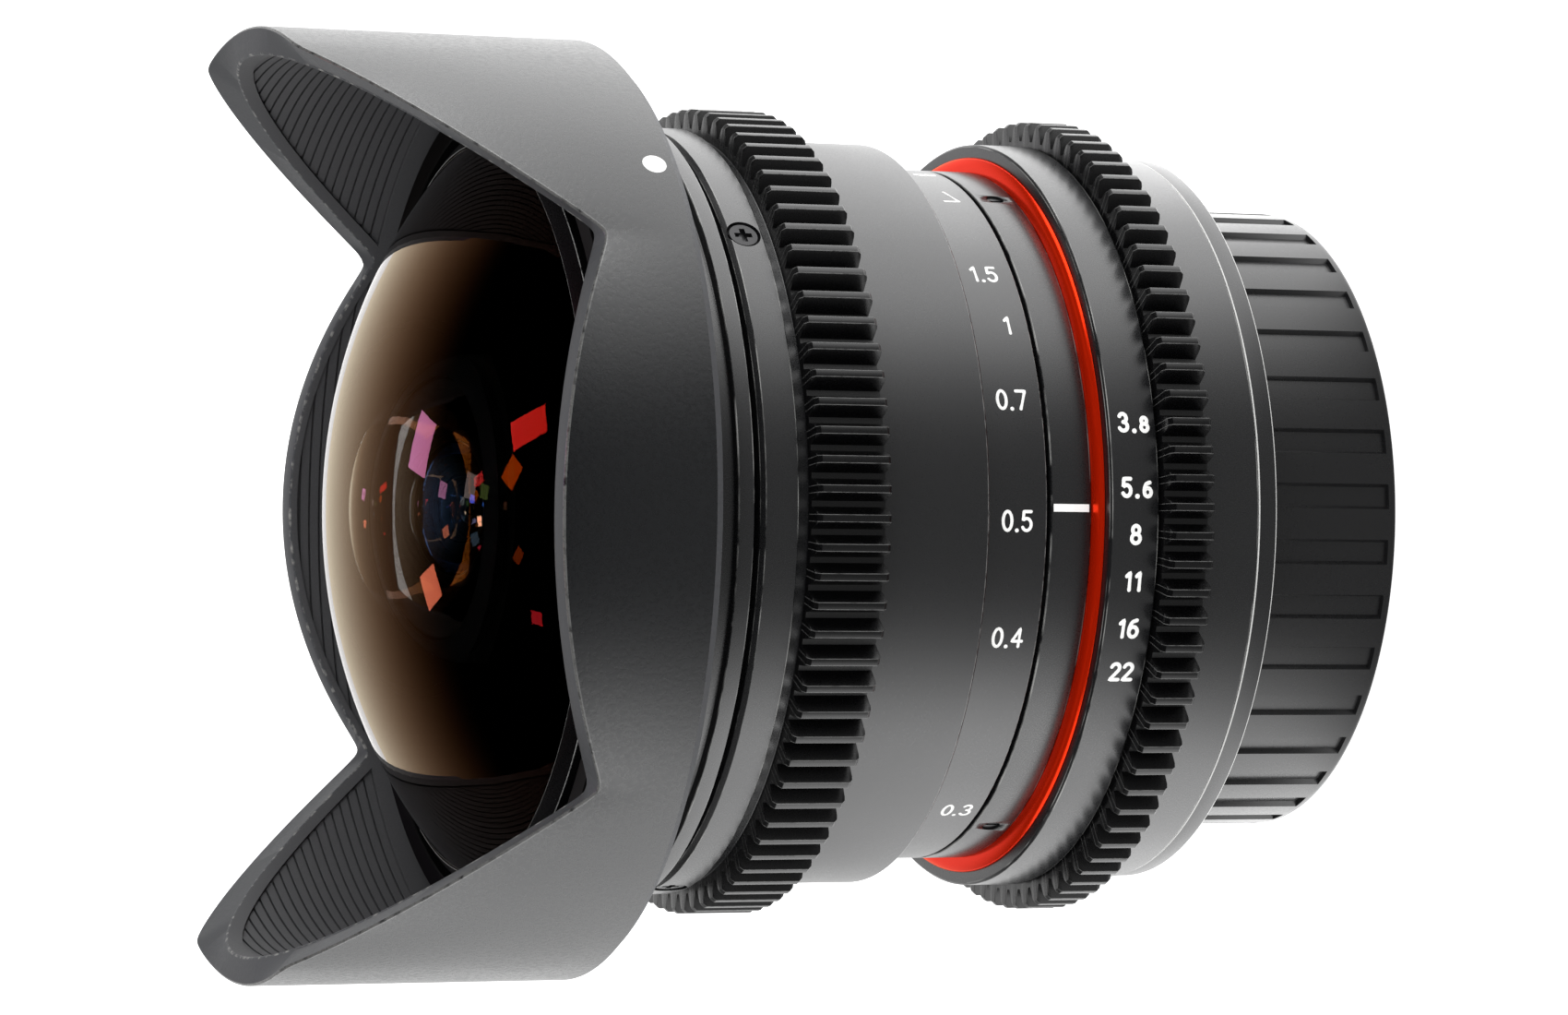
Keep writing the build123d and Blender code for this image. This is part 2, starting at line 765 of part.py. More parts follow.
def focus_ring():
    """Turning sleeve: distance scale band, smooth grip and the seat of the gear ring."""
    body = turned([(band_bore, focus_back), (band_radius, focus_back), (band_radius, band_front),
                   (grip_radius - band_chamfer, band_front), (grip_radius, band_front + band_chamfer),
                   (grip_radius, grip_front - seat_gap), (gear_seat, grip_front - seat_gap),
                   (gear_seat, sleeve_front), (sleeve_bore, sleeve_front), (sleeve_bore, band_step),
                   (band_bore, band_step)])
    pin_circle = bearing_radius + stop_pin_inset
    half = degrees(asin(stop_pin_radius / pin_circle)) + stop_spare_angle
    groove_outer = pin_circle + stop_pin_radius + stop_groove_play
    body -= sector(bearing_radius, groove_outer, stop_pin_angle - focus_near_angle - half,
                   stop_pin_angle + focus_far_angle + half, focus_back - overrun,
                   focus_back + stop_pin_rise + stop_groove_play)
    return body - focus_screw_holes(focus_screw_shank + seat_gap)


def focus_screw_holes(radius):
    """The three radial holes under the gear ring's screws."""
    hole = rod(radius, -focus_screw_reach - overrun, 0)
    return [outward(angle, focus_flange_radius, focus_screw_z) * hole for angle in focus_screw_angles]


def focus_gear():
    """Gear ring: teeth, relief groove and the front flange with its three screw recesses."""
    relief_radius = root_radius - relief_depth
    body = turned([(gear_bore, grip_front), (root_radius, grip_front), (root_radius, focus_gear_front),
                   (relief_radius, focus_gear_front), (relief_radius, focus_flange_back),
                   (focus_flange_radius, focus_flange_back),
                   (focus_flange_radius, focus_front - flange_chamfer),
                   (focus_flange_radius - flange_chamfer, focus_front),
                   (sleeve_bore, focus_front), (sleeve_bore, focus_front - lip_length),
                   (gear_bore, focus_front - lip_length)])
    body += gear_band(gear_bore, grip_front, focus_gear_front, focus_tooth_angle)
    recess = rod(focus_screw_recess_radius, -focus_screw_recess, overrun)
    body -= [outward(angle, focus_flange_radius, focus_screw_z) * recess for angle in focus_screw_angles]
    return body - focus_screw_holes(focus_screw_shank + seat_gap)


def focus_gear_screws():
    """Three cross-head screws through the gear ring and the sleeve into the nut."""
    length = focus_screw_reach - focus_screw_recess
    body = screw(focus_screw_head, focus_screw_head_length, focus_screw_shank, length)
    top = focus_flange_radius - focus_screw_recess + focus_screw_head_length
    return [outward(angle, top, focus_screw_z) * body for angle in focus_screw_angles]


def helicoid_nut():
    """Brass nut whose thread moves the lens cell."""
    body = ring(nut_bore, nut_radius, nut_back, sleeve_front)
    return body - focus_screw_holes(focus_screw_shank + seat_gap)


def aperture_ring():
    """Turning ring with its own gear teeth, and a pocket for the lever's foot."""
    relief_radius = aperture_front_radius - relief_depth
    relief_front = aperture_gear_front + aperture_relief
    step = red_back - thrust_gap
    body = turned([(aperture_bore, aperture_back), (aperture_rear_radius, aperture_back),
                   (aperture_rear_radius, aperture_gear_back), (root_radius, aperture_gear_back),
                   (root_radius, aperture_gear_front), (relief_radius, aperture_gear_front),
                   (relief_radius, relief_front), (aperture_front_radius, relief_front),
                   (aperture_front_radius, aperture_front - band_chamfer),
                   (aperture_front_radius - band_chamfer, aperture_front), (lip_bore, aperture_front),
                   (lip_bore, step), (aperture_bore, step)])
    body += gear_band(aperture_bore, aperture_gear_back, aperture_gear_front, aperture_tooth_angle)
    back = aperture_back + lever_setback
    pocket = block(aperture_bore - overrun, aperture_bore + lever_foot_sink + seat_gap,
                   lever_width + 2 * seat_gap, back - seat_gap, back + lever_foot_length + seat_gap)
    body -= Rot(0, 0, lever_angle) * pocket
    hole = rod(lever_screw_shank + seat_gap, 0, lever_screw_length + 2 * seat_gap)
    return body - [place * hole for place in lever_screw_places()]


def lever_screw_places():
    """The two radial places of the lever's screws, pointing outwards from the foot's inner face."""
    height = aperture_back + lever_setback + lever_foot_length - lever_screw_head - seat_gap
    inner = aperture_bore - lever_foot_inner_step
    return [outward(lever_angle, inner, height, side) for side in (-lever_screw_half, lever_screw_half)]


def aperture_lever():
    """Bracket from the aperture ring to the iris fork: foot, arm and finger."""
    back = aperture_back + lever_setback
    foot = block(aperture_bore - lever_foot_inner_step, aperture_bore + lever_foot_sink, lever_width, back,
                 back + lever_foot_length)
    arm = block(finger_inner, aperture_bore, lever_width, back, back + lever_arm_length)
    finger = block(finger_inner, finger_inner + finger_size, finger_size, back,
                   drive_front + finger_past_fork)
    body = Rot(0, 0, lever_angle) * (foot + arm + finger)
    hole = rod(lever_screw_shank + seat_gap, -overrun, lever_screw_length + overrun)
    return body - [place * hole for place in lever_screw_places()]


def aperture_lever_screws():
    """Two screws from inside the lever into the aperture ring."""
    body = Rot(180, 0, 0) * screw(lever_screw_head, lever_screw_head_length, lever_screw_shank,
                                  lever_screw_length)
    return [place * Pos(0, 0, -lever_screw_head_length) * body for place in lever_screw_places()]


# Heights of the front glass, from the seats up
lens_1_vertex_back = sagged(cup_seat + glass_gap, lens_1_back, lens_1_back_clear)
lens_1_vertex = lens_1_vertex_back + lens_1_centre
dome_centre = lens_1_vertex - lens_1_front
lens_2_seat = cup_seat - lens_2_drop
lens_2_vertex_back = sagged(lens_2_seat + glass_gap, lens_2_back, lens_2_back_clear)
lens_2_vertex = lens_2_vertex_back + lens_2_centre
lens_3_seat = lens_2_seat - lens_3_drop
lens_3_vertex_back = sagged(lens_3_seat + glass_gap, lens_3_back, lens_3_back_clear)
lens_3_vertex = lens_3_vertex_back + lens_3_centre
lens_3_rim = surface_z(lens_3_vertex, lens_3_front, lens_3_front_clear)
spacer_seat = lens_3_rim + glass_gap
lens_4_seat = lens_3_seat - lens_4_drop
lens_4_vertex = sagged(lens_4_seat - glass_gap, lens_4_front, lens_4_front_clear)
lens_4_vertex_back = lens_4_vertex - lens_4_centre
lens_5_vertex = lens_4_vertex_back - cement_gap
lens_5_vertex_back = lens_5_vertex - lens_5_centre
lens_5_rim = surface_z(lens_5_vertex_back, lens_5_back, lens_5_back_clear)

# Heights of the iris and the rear glass
pivot_plate_back = aperture_front + iris_setback
pivot_plate_front = pivot_plate_back + pivot_plate_length
housing_back = pivot_plate_back - housing_depth
drive_front = pivot_plate_back - drive_ring_drop
drive_back = drive_front - drive_ring_length
cover_front = drive_back - cover_gap
cover_back = cover_front - cover_length
rear_cell_front = housing_back + rear_cell_flange
lens_7_seat = housing_back - lens_7_setback
lens_7_vertex_back = sagged(lens_7_seat + glass_gap, lens_7_back, lens_7_back_clear)
lens_7_vertex = lens_7_vertex_back + lens_7_centre
lens_6_vertex_back = lens_7_vertex + cement_gap
lens_6_vertex = lens_6_vertex_back + lens_6_centre
lens_6_rim = surface_z(lens_6_vertex, lens_6_front, lens_6_front_clear)
lens_8_seat = lens_7_seat - lens_8_drop
lens_8_vertex = sagged(lens_8_seat - glass_gap, lens_8_front, lens_8_front_clear)
lens_8_vertex_back = lens_8_vertex - lens_8_centre
lens_9_vertex = lens_8_vertex_back - cement_gap
lens_9_vertex_back = lens_9_vertex - lens_9_centre
lens_9_rim = surface_z(lens_9_vertex_back, lens_9_back, lens_9_back_clear)
lens_10_seat = lens_8_seat - lens_10_drop
lens_10_vertex = sagged(lens_10_seat - glass_gap, lens_10_front, lens_10_front_clear)
lens_10_vertex_back = lens_10_vertex - lens_10_centre
lens_10_rim = surface_z(lens_10_vertex_back, lens_10_back, lens_10_back_clear)

# Bores that take the glass
lens_2_bore = lens_2_radius + glass_play
front_retainer_bore = lens_2_bore + front_retainer_wall
lens_3_bore = lens_3_radius + glass_play
front_spacer_bore = lens_3_bore + front_spacer_step
lens_4_bore = lens_4_radius + glass_play
lens_4_shoulder = lens_4_front_clear + shoulder_clear
tube_radius = lens_4_bore + tube_wall
tube_bore = lens_4_bore + tube_bore_step
tube_thread = tube_bore + tube_thread_wall
tube_back = pivot_plate_front + glass_gap
lens_6_bore = lens_6_radius + glass_play
lens_8_bore = lens_8_radius + glass_play
lens_10_bore = lens_10_radius + glass_play
housing_radius = tube_thread + seat_gap + housing_rim
housing_bore = housing_radius - housing_wall
fork_root = housing_bore - fork_bite
fork_open_radius = housing_radius + fork_clear
fork_reach = fork_open_radius + fork_length
finger_inner = fork_open_radius + finger_clear


def lens_cell():
    """Sliding cell: front cup, bores for the front glass, threaded skirt and the tube of the iris."""
    skirt_back = thread_back - skirt_length
    skirt_inner = skirt_radius - skirt_wall
    web_back = cup_seat - web_back_drop
    tube_step = tube_back + tube_thread_length
    body = turned([(skirt_inner, skirt_back), (skirt_radius, skirt_back), (skirt_radius, thread_back),
                   (thread_radius, thread_back), (thread_radius, cell_flange_back),
                   (cell_front_radius + cell_flange_step, cell_flange_back),
                   (cell_front_radius + cell_flange_step, mount_ring_back),
                   (cell_front_radius, mount_ring_back), (cell_front_radius, mount_ring_front),
                   (cup_radius, mount_ring_front), (cup_radius, cup_seat), (front_retainer_bore, cup_seat),
                   (front_retainer_bore, cup_seat - front_retainer_depth),
                   (lens_2_bore, cup_seat - front_retainer_depth), (lens_2_bore, lens_2_seat),
                   (front_spacer_bore, lens_2_seat), (front_spacer_bore, spacer_seat),
                   (lens_3_bore, spacer_seat), (lens_3_bore, lens_3_seat), (lens_4_shoulder, lens_3_seat),
                   (lens_4_shoulder, lens_4_seat), (lens_4_bore, lens_4_seat),
                   (lens_4_bore, tube_back + tube_bore_length), (tube_bore, tube_back + tube_bore_length),
                   (tube_bore, tube_back), (tube_thread, tube_back), (tube_thread, tube_step),
                   (tube_radius, tube_step), (tube_radius, web_back), (skirt_inner, web_back)])
    pocket_inner = front_retainer_bore + web_pocket_inset
    pocket_outer = cup_radius - web_rim
    body -= ring(pocket_inner, pocket_outer, cup_seat - web_pocket_drop, cup_seat + overrun)
    slot = block(skirt_inner - overrun, skirt_radius + overrun, key_width + 2 * running,
                 skirt_back - overrun, key_back + key_length + key_slot_spare)
    return body - Rot(0, 0, key_angle) * slot


def front_bezel():
    """Thin ring that holds the dome: screwed on the cell's seat, with a narrow lip over the glass."""
    lip = lens_1_radius - bezel_lip
    under = lens_1_front + glass_gap
    height = {radius: dome_centre + sqrt(under ** 2 - radius ** 2) for radius in (lip, bezel_bore)}
    middle = (lip + bezel_bore) / 2
    arc = ThreePointArc((bezel_bore, 0, height[bezel_bore]),
                        (middle, 0, dome_centre + sqrt(under ** 2 - middle ** 2)), (lip, 0, height[lip]))
    front = height[lip] + bezel_lip_length
    sleeve = cup_radius + seat_gap
    rest = Polyline((lip, 0, height[lip]), (lip, 0, front), (bezel_radius, 0, front - bezel_slope),
                    (bezel_radius, 0, mount_ring_front + seat_gap), (sleeve, 0, mount_ring_front + seat_gap),
                    (sleeve, 0, cup_seat), (bezel_bore, 0, cup_seat), (bezel_bore, 0, height[bezel_bore]))
    return revolve(make_face([arc, rest]), axis=Axis.Z)


def lens_2_retainer():
    """Threaded ring that holds the second element down."""
    outer = front_retainer_bore - seat_gap
    inner = lens_2_bore + seat_gap
    back = cup_seat - front_retainer_depth + seat_gap
    front = cup_seat + front_retainer_rise
    lip = outer - front_retainer_lip_reach
    return turned([(inner, back), (outer, back), (outer, front), (lip, front),
                   (lip, front - front_retainer_lip), (inner, front - front_retainer_lip)])


def front_spacer():
    """Spacer between the second and third elements."""
    inner = lens_3_front_clear
    return ring(inner, front_spacer_bore - seat_gap, spacer_seat + seat_gap, lens_2_seat + seat_gap)


def doublet_retainer():
    """Threaded ring behind the cemented pair of the front group."""
    back = lens_5_rim - glass_gap - doublet_retainer_length
    return ring(lens_4_bore - doublet_retainer_wall, lens_4_bore - seat_gap, back, lens_5_rim - glass_gap)


def hood_mount_ring():
    """Ring round the cell with the groove and the entry slots of the hood's lugs."""
    groove = hood_bore - hood_lug_reach - hood_play
    low = hood_lug_back - hood_play
    high = hood_lug_front + hood_play
    body = turned([(mount_ring_bore, mount_ring_back), (mount_ring_radius + mount_ring_brim, mount_ring_back),
                   (mount_ring_radius + mount_ring_brim, mount_ring_back + mount_ring_flange),
                   (mount_ring_radius, mount_ring_back + mount_ring_flange), (mount_ring_radius, low),
                   (groove, low), (groove, high), (mount_ring_radius, high),
                   (mount_ring_radius, mount_ring_front), (mount_ring_bore, mount_ring_front)])
    return body - lugs(groove, mount_ring_radius + overrun, hood_lug_angle - hood_turn,
                       hood_lug_span + hood_slot_spare, low, mount_ring_front + overrun)


def petal_prism(short_drop, long_drop):
    """All that lies under the scalloped edge seen along Y, lowered on each kind of petal."""
    reach = hood_radius + overrun
    base = hood_back - overrun
    rise = short_petal_height - notch_height
    arc_radius = (notch_half ** 2 + rise ** 2) / (2 * rise)
    short_top = hood_back + short_petal_height - short_drop
    long_top = hood_top - long_drop
    foot = hood_back + notch_height - long_drop
    tall = short_top - base
    outline = Pos(0, short_top - arc_radius) * Circle(arc_radius)
    outline &= Pos(0, base + tall / 2) * Rectangle(2 * reach, tall)
    for side in (-1, 1):
        corners = [(side * notch_half, base), (side * notch_half, foot), (side * tip_half, long_top),
                   (side * reach, long_top), (side * reach, base)]
        outline += make_face(Polyline(*corners, close=True))
    notches = [v for v in outline.vertices() if v.Y > base + notch_round and abs(v.X) < tip_half - tip_round]
    outline = fillet(notches, notch_round)
    tips = [v for v in outline.vertices() if v.Y > long_top - tip_round / 2 and abs(v.X) < reach - overrun]
    outline = fillet(tips, tip_round)
    return extrude(Plane.XZ * outline, reach, both=True)


def hood():
    """Petal hood: cylinder cut to four petals, grooved panels inside, collar, base and three lugs."""
    top = hood_top + overrun
    shell = turned([(hood_bore, hood_back), (hood_radius - hood_chamfer, hood_back),
                    (hood_radius, hood_back + hood_chamfer), (hood_radius, top), (hood_inner, top),
                    (hood_inner, hood_base_front), (collar_outer, hood_base_front),
                    (collar_outer, collar_front), (collar_inner, collar_front),
                    (collar_inner, hood_base_front), (hood_bore, hood_base_front)])
    shell &= petal_prism(0, 0)
    panel_back = collar_front + panel_rise
    panel_front = hood_top - long_frame
    recess = hood_inner + panel_depth
    deep = recess + rib_groove_depth
    inside = hood_inner - overrun
    comb = [(inside, panel_front), (inside, panel_back), (recess, panel_back)]
    grooves = int((panel_front - panel_back) / rib_pitch)
    for index in range(grooves, -1, -1):
        front = panel_front - rib_pitch * index
        back = max(front - rib_groove, panel_back + seat_gap)
        comb += [(recess, back), (deep, back), (deep, front), (recess, front)]
    comb.pop()
    panels = turned(comb) & petal_prism(short_frame, long_frame)
    shell -= panels
    return shell + lugs(hood_bore - hood_lug_reach, hood_bore + hood_lug_root, hood_lug_angle,
                        hood_lug_span, hood_lug_back, hood_lug_front)


def fork_window():
    """The window in the iris housing that the fork's arm sweeps."""
    half = degrees(asin(fork_width / (2 * housing_bore))) + window_spare_angle
    start = lever_angle - aperture_open_angle - half
    end = lever_angle + aperture_closed_angle + half
    inner = housing_bore - housing_wall
    return sector(inner, housing_radius + overrun, start, end, drive_back - window_play,
                  drive_front + window_play)


def iris_housing():
    """Cup round the iris: pivot plate, wall with the fork's window, and the collar on the tube."""
    body = turned([(housing_bore, housing_back), (housing_radius, housing_back),
                   (housing_radius, pivot_plate_front + tube_thread_length - glass_gap),
                   (tube_thread + seat_gap, pivot_plate_front + tube_thread_length - glass_gap),
                   (tube_thread + seat_gap, pivot_plate_front), (pivot_plate_bore, pivot_plate_front),
                   (pivot_plate_bore, pivot_plate_back), (housing_bore, pivot_plate_back)])
    body -= fork_window()
    hole = rod(pivot_pin_radius + pin_play, pivot_plate_back - overrun, pivot_plate_front + overrun)
    return body - [Pos(*polar(pivot_circle, angle), 0) * hole for angle in blade_angles()]


def blade_angles():
    """The directions of the blades' pivots."""
    return [iris_first_angle + 360 * index / iris_blades for index in range(iris_blades)]


def blade_top(index):
    """The front face of a blade's own level."""
    return pivot_plate_back - blade_pitch * (index + 1) + blade_length


def iris_blade(index):
    """A curved leaf with an ear: the pivot pin points forward, the drive pin backward."""
    top = blade_top(index)
    leaf = sector_face(blade_inner, blade_outer, blade_start_angle, blade_end_angle)
    leaf += sector_face(blade_outer - blade_ear_overlap, blade_ear_outer, blade_ear_start_angle,
                        blade_ear_end_angle)
    body = Pos(0, 0, top - blade_length) * extrude(leaf, blade_length)
    body += Pos(pivot_circle, 0, 0) * rod(pivot_pin_radius, top - blade_length,
                                          pivot_plate_back + pivot_pin_length)
    body += Pos(*polar(drive_pin_circle, drive_pin_angle), 0) * rod(pivot_pin_radius,
                                                                   drive_front - drive_pin_bite, top)
    swung = Pos(pivot_circle, 0, 0) * Rot(0, 0, blade_rest_angle) * Pos(-pivot_circle, 0, 0) * body
    return Rot(0, 0, blade_angles()[index]) * swung


def drive_pin_place(turn):
    """A drive pin seen from the drive ring when the ring has turned by an angle from rest."""
    swing = radians(blade_rest_angle + blade_ratio * turn)
    pin_x, pin_y = polar(drive_pin_circle, drive_pin_angle)
    arm_x = pin_x - pivot_circle
    place_x = pivot_circle + arm_x * cos(swing) - pin_y * sin(swing)
    place_y = arm_x * sin(swing) + pin_y * cos(swing)
    back = radians(-turn)
    return (place_x * cos(back) - place_y * sin(back), place_x * sin(back) + place_y * cos(back))


def iris_drive_ring():
    """Ring with six cam slots for the drive pins and a fork for the aperture lever."""
    body = ring(drive_ring_bore, housing_bore - housing_play, drive_back, drive_front)
    fork = block(fork_root, fork_reach, fork_width, drive_back, drive_front)
    fork -= block(fork_open_radius, fork_reach + overrun, finger_size + 2 * fork_play,
                  drive_back - overrun, drive_front + overrun)
    body += Rot(0, 0, lever_angle) * fork
    middle = (aperture_closed_angle - aperture_open_angle) / 2
    path = ThreePointArc(drive_pin_place(-aperture_open_angle), drive_pin_place(middle),
                         drive_pin_place(aperture_closed_angle))
    slot = extrude(SlotArc(path, 2 * (pivot_pin_radius + pin_play)), drive_ring_length + 2 * overrun)
    return body - [Rot(0, 0, angle) * Pos(0, 0, drive_back - overrun) * slot for angle in blade_angles()]


def iris_cover():
    """Plate that keeps the drive ring in the housing."""
    return ring(drive_ring_bore, housing_bore - seat_gap, cover_back, cover_front)


def rear_cell():
    """Tube of the rear glass, with a flange inside the iris housing."""
    return turned([(rear_cell_radius, rear_cell_back), (rear_cell_radius, housing_back),
                   (housing_bore - seat_gap, housing_back), (housing_bore - seat_gap, rear_cell_front),
                   (lens_6_bore, rear_cell_front), (lens_6_bore, lens_7_seat),
                   (lens_6_bore - lens_7_seat_step, lens_7_seat),
                   (lens_6_bore - lens_7_seat_step, lens_8_seat + lens_8_seat_length),
                   (lens_8_bore - lens_8_seat_step, lens_8_seat + lens_8_seat_length),
                   (lens_8_bore - lens_8_seat_step, lens_8_seat), (lens_8_bore, lens_8_seat),
                   (lens_8_bore, lens_10_seat), (lens_10_bore, lens_10_seat),
                   (lens_10_bore, rear_cell_back)])


def lens_6_retainer():
    """Threaded ring in front of the first rear pair."""
    back = lens_6_rim + glass_gap
    return ring(lens_6_bore - doublet_stop_wall, lens_6_bore - seat_gap, back, back + doublet_stop_length)


def rear_spacer():
    """Spacer between the ninth and tenth elements."""
    outer = lens_8_bore - seat_gap
    return ring(outer - rear_spacer_wall, outer, lens_10_seat + rear_spacer_rise, lens_9_rim - glass_gap)


def rear_retainer():
    """Threaded ring behind the last element."""
    front = lens_10_rim - glass_gap
    back = front - rear_retainer_length
    return ring(lens_10_bore - rear_retainer_wall, lens_10_bore - seat_gap, back, front)


def glass_elements():
    """The ten elements, front to rear."""
    return [
        element(lens_1_vertex, lens_1_front, lens_1_radius, lens_1_vertex_back, lens_1_back,
                lens_1_back_clear, lens_1_radius),
        element(lens_2_vertex, lens_2_front, lens_2_front_clear, lens_2_vertex_back, lens_2_back,
                lens_2_back_clear, lens_2_radius),
        element(lens_3_vertex, lens_3_front, lens_3_front_clear, lens_3_vertex_back, lens_3_back,
                lens_3_back_clear, lens_3_radius),
        element(lens_4_vertex, lens_4_front, lens_4_front_clear, lens_4_vertex_back, lens_4_back,
                lens_4_radius, lens_4_radius),
        element(lens_5_vertex, lens_4_back, lens_4_radius, lens_5_vertex_back, lens_5_back,
                lens_5_back_clear, lens_4_radius),
        element(lens_6_vertex, lens_6_front, lens_6_front_clear, lens_6_vertex_back, lens_6_back,
                lens_6_radius, lens_6_radius),
        element(lens_7_vertex, lens_6_back, lens_6_radius, lens_7_vertex_back, lens_7_back,
                lens_7_back_clear, lens_6_radius),
        element(lens_8_vertex, lens_8_front, lens_8_front_clear, lens_8_vertex_back, lens_8_back,
                lens_8_radius, lens_8_radius),
        element(lens_9_vertex, lens_8_back, lens_8_radius, lens_9_vertex_back, lens_9_back,
                lens_9_back_clear, lens_8_radius),
        element(lens_10_vertex, lens_10_front, lens_10_front_clear, lens_10_vertex_back, lens_10_back,
                lens_10_back_clear, lens_10_radius),
    ]


def save(name, shape):
    """Write one node; a list becomes one node of separate solids."""
    whole = Compound(children=shape) if isinstance(shape, list) else shape
    export_step(whole, f"parts/{name}.step")


# Fixed barrel
save("mount_flange", mount_flange())
save("mount_screws", mount_screws())
save("rear_ring", rear_ring())
save("rear_baffle", rear_baffle())
save("main_barrel", main_barrel())
save("name_ring", name_ring())
save("name_ring_screws", name_ring_screws())
save("red_ring", red_ring())
save("focus_key", focus_key())
save("focus_key_screws", focus_key_screws())
save("focus_stop_pin", focus_stop_pin())
save("focus_retainer", focus_retainer())

# Focus ring and aperture ring
save("focus_ring", focus_ring())
save("focus_gear", focus_gear())
save("focus_gear_screws", focus_gear_screws())
save("helicoid_nut", helicoid_nut())
save("aperture_ring", aperture_ring())
save("aperture_lever", aperture_lever())
save("aperture_lever_screws", aperture_lever_screws())

# Lens cell, glass and iris
save("lens_cell", lens_cell())
save("front_bezel", front_bezel())
save("hood_mount_ring", hood_mount_ring())
save("lens_2_retainer", lens_2_retainer())
save("front_spacer", front_spacer())
save("doublet_retainer", doublet_retainer())
save("iris_housing", iris_housing())
save("iris_cover", iris_cover())
save("iris_drive_ring", iris_drive_ring())
for blade_index in range(iris_blades):
    save(f"iris_blade_{blade_index + 1}", iris_blade(blade_index))
save("rear_cell", rear_cell())
save("lens_6_retainer", lens_6_retainer())
save("rear_spacer", rear_spacer())
save("rear_retainer", rear_retainer())
for lens_index, glass in enumerate(glass_elements()):
    save(f"lens_{lens_index + 1}", glass)

# Pieces that come off
save("hood", hood())
save("rear_cap", rear_cap())
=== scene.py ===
import json
import math

import bmesh
import bpy
import numpy as np
from mathutils import Matrix, Vector


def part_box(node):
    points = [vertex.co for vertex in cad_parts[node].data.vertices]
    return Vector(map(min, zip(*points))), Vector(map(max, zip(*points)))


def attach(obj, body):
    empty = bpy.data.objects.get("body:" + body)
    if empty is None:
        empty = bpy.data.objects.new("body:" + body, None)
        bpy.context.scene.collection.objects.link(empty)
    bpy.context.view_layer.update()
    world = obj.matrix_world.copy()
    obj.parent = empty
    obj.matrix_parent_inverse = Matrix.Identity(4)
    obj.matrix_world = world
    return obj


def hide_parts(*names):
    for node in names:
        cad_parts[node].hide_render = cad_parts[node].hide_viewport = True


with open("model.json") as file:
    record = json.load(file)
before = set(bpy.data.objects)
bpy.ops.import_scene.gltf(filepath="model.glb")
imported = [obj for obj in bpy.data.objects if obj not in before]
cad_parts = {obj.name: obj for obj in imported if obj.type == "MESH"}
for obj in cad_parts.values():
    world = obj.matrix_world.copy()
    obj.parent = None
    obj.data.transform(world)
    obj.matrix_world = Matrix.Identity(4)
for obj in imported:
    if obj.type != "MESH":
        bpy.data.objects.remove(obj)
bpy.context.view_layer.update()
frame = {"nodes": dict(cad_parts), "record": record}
nodes = frame["nodes"]
MM = 0.001

# Fineness of the surfaces
around = 360                 # columns round a plain ring
corner_steps = 4             # facets in a rounded corner
fine_corner = 0.12 * MM      # the break on a turned edge
weld = 1e-7                  # doubles closer than this are one vertex

# Sizes of the photographed view: the camera lies on its side, so +Z runs to the left of the picture
picture_width, picture_height = 1700, 1100
focal_pixels = 6032.07
camera_reach = 519.493 * MM
camera_tilt = 0.366489       # radians below the horizon
camera_roll = 0.0128088
aim = Vector((0.4755 * MM, 0, 48.94 * MM))
index_angle = 270.0          # the camera's side, in degrees from +X
sensor_width = 36            # millimetres
nearest_seen = 0.01

# Sizes in millimetres that more than one piece shares
hood_radius = 43.08
bayonet_groove = 33.48       # bottom of the groove that the hood's lugs turn in
dome_radius = 51.7           # curvature of the front glass
dome_edge = 33.5
band_radius = 32.3           # the ring of the distance marks, and the name ring behind it
stops_radius = 34.9          # the aperture ring's smooth face
bore_radius = 31.17          # of the name ring and of the red ring

# The hood's scalloped edge in millimetres: the short petals' arc, the long petals' slope and the soft turns
petal_arc, petal_height, arc_reach = 48.5, 14.55, 40
slope_start, slope_height, slope_rise = 23.9, 8.25, 1.337
tip_softness, notch_softness = 0.47, 1.0
short_frame, long_frame = 0.8, 1.9       # from the edge to the grooved panel, on each kind of petal

# Gear teeth of module 0.8, the follow-focus size: millimetres, and degrees from +X where a tooth stands
gear_teeth = 91
gear_module = 0.8
gear_tip, gear_root = 37.2, 35.4
pressure_angle = math.radians(20)
tooth_break = 0.06
tooth_edge_tone = 0.3             # how far the breaks along a tooth take the lighter edge tone: wear and a painted highlight
tooth_crown = 0.6            # the outer part of a tooth whose breaks take that tone
focus_tooth_angle = 269.4
aperture_tooth_angle = 271.5

# Light: the floor in reflections, dark in front of the lens and bright behind it, by the sine of the azimuth
floor_front, floor_back, floor_ramp = 0.26, 2.9, (-0.98, -0.42)
floor_loss, loss_ramp = 0.55, (0.15, 1.0)
floor_half = 4
# The sky in reflections is bright and white behind the lens and falls off through amber to black
sky_back, sky_ramp, sky_cream, sky_amber = 1.4, (0.52, 1.0), "#F8ECD2", "#F0BC80"
# Coated glass swallows most of the sky that crosses it
through_glass = 0.4
# What comes from above the picture is brighter than what comes from below it
above_gain, above_ramp = 0.35, (-0.4, 0.6)
# Plain light of the sky on every colour, and the floor's own light where it is seen
sky_plain, floor_plain = 0.8, 0.85
# Soft boxes above, below and in front of the lens: name, place and side in metres, radiance
boxes = (("box_above", (0.55, -0.05, 0.12), 0.5, 2.5), ("box_below", (-0.55, -0.05, 0.12), 0.5, 1.3),
         ("fill", (0.0, -0.6, 0.5), 0.8, 1.1))
lamp_target = Vector((0, 0, 0.05))
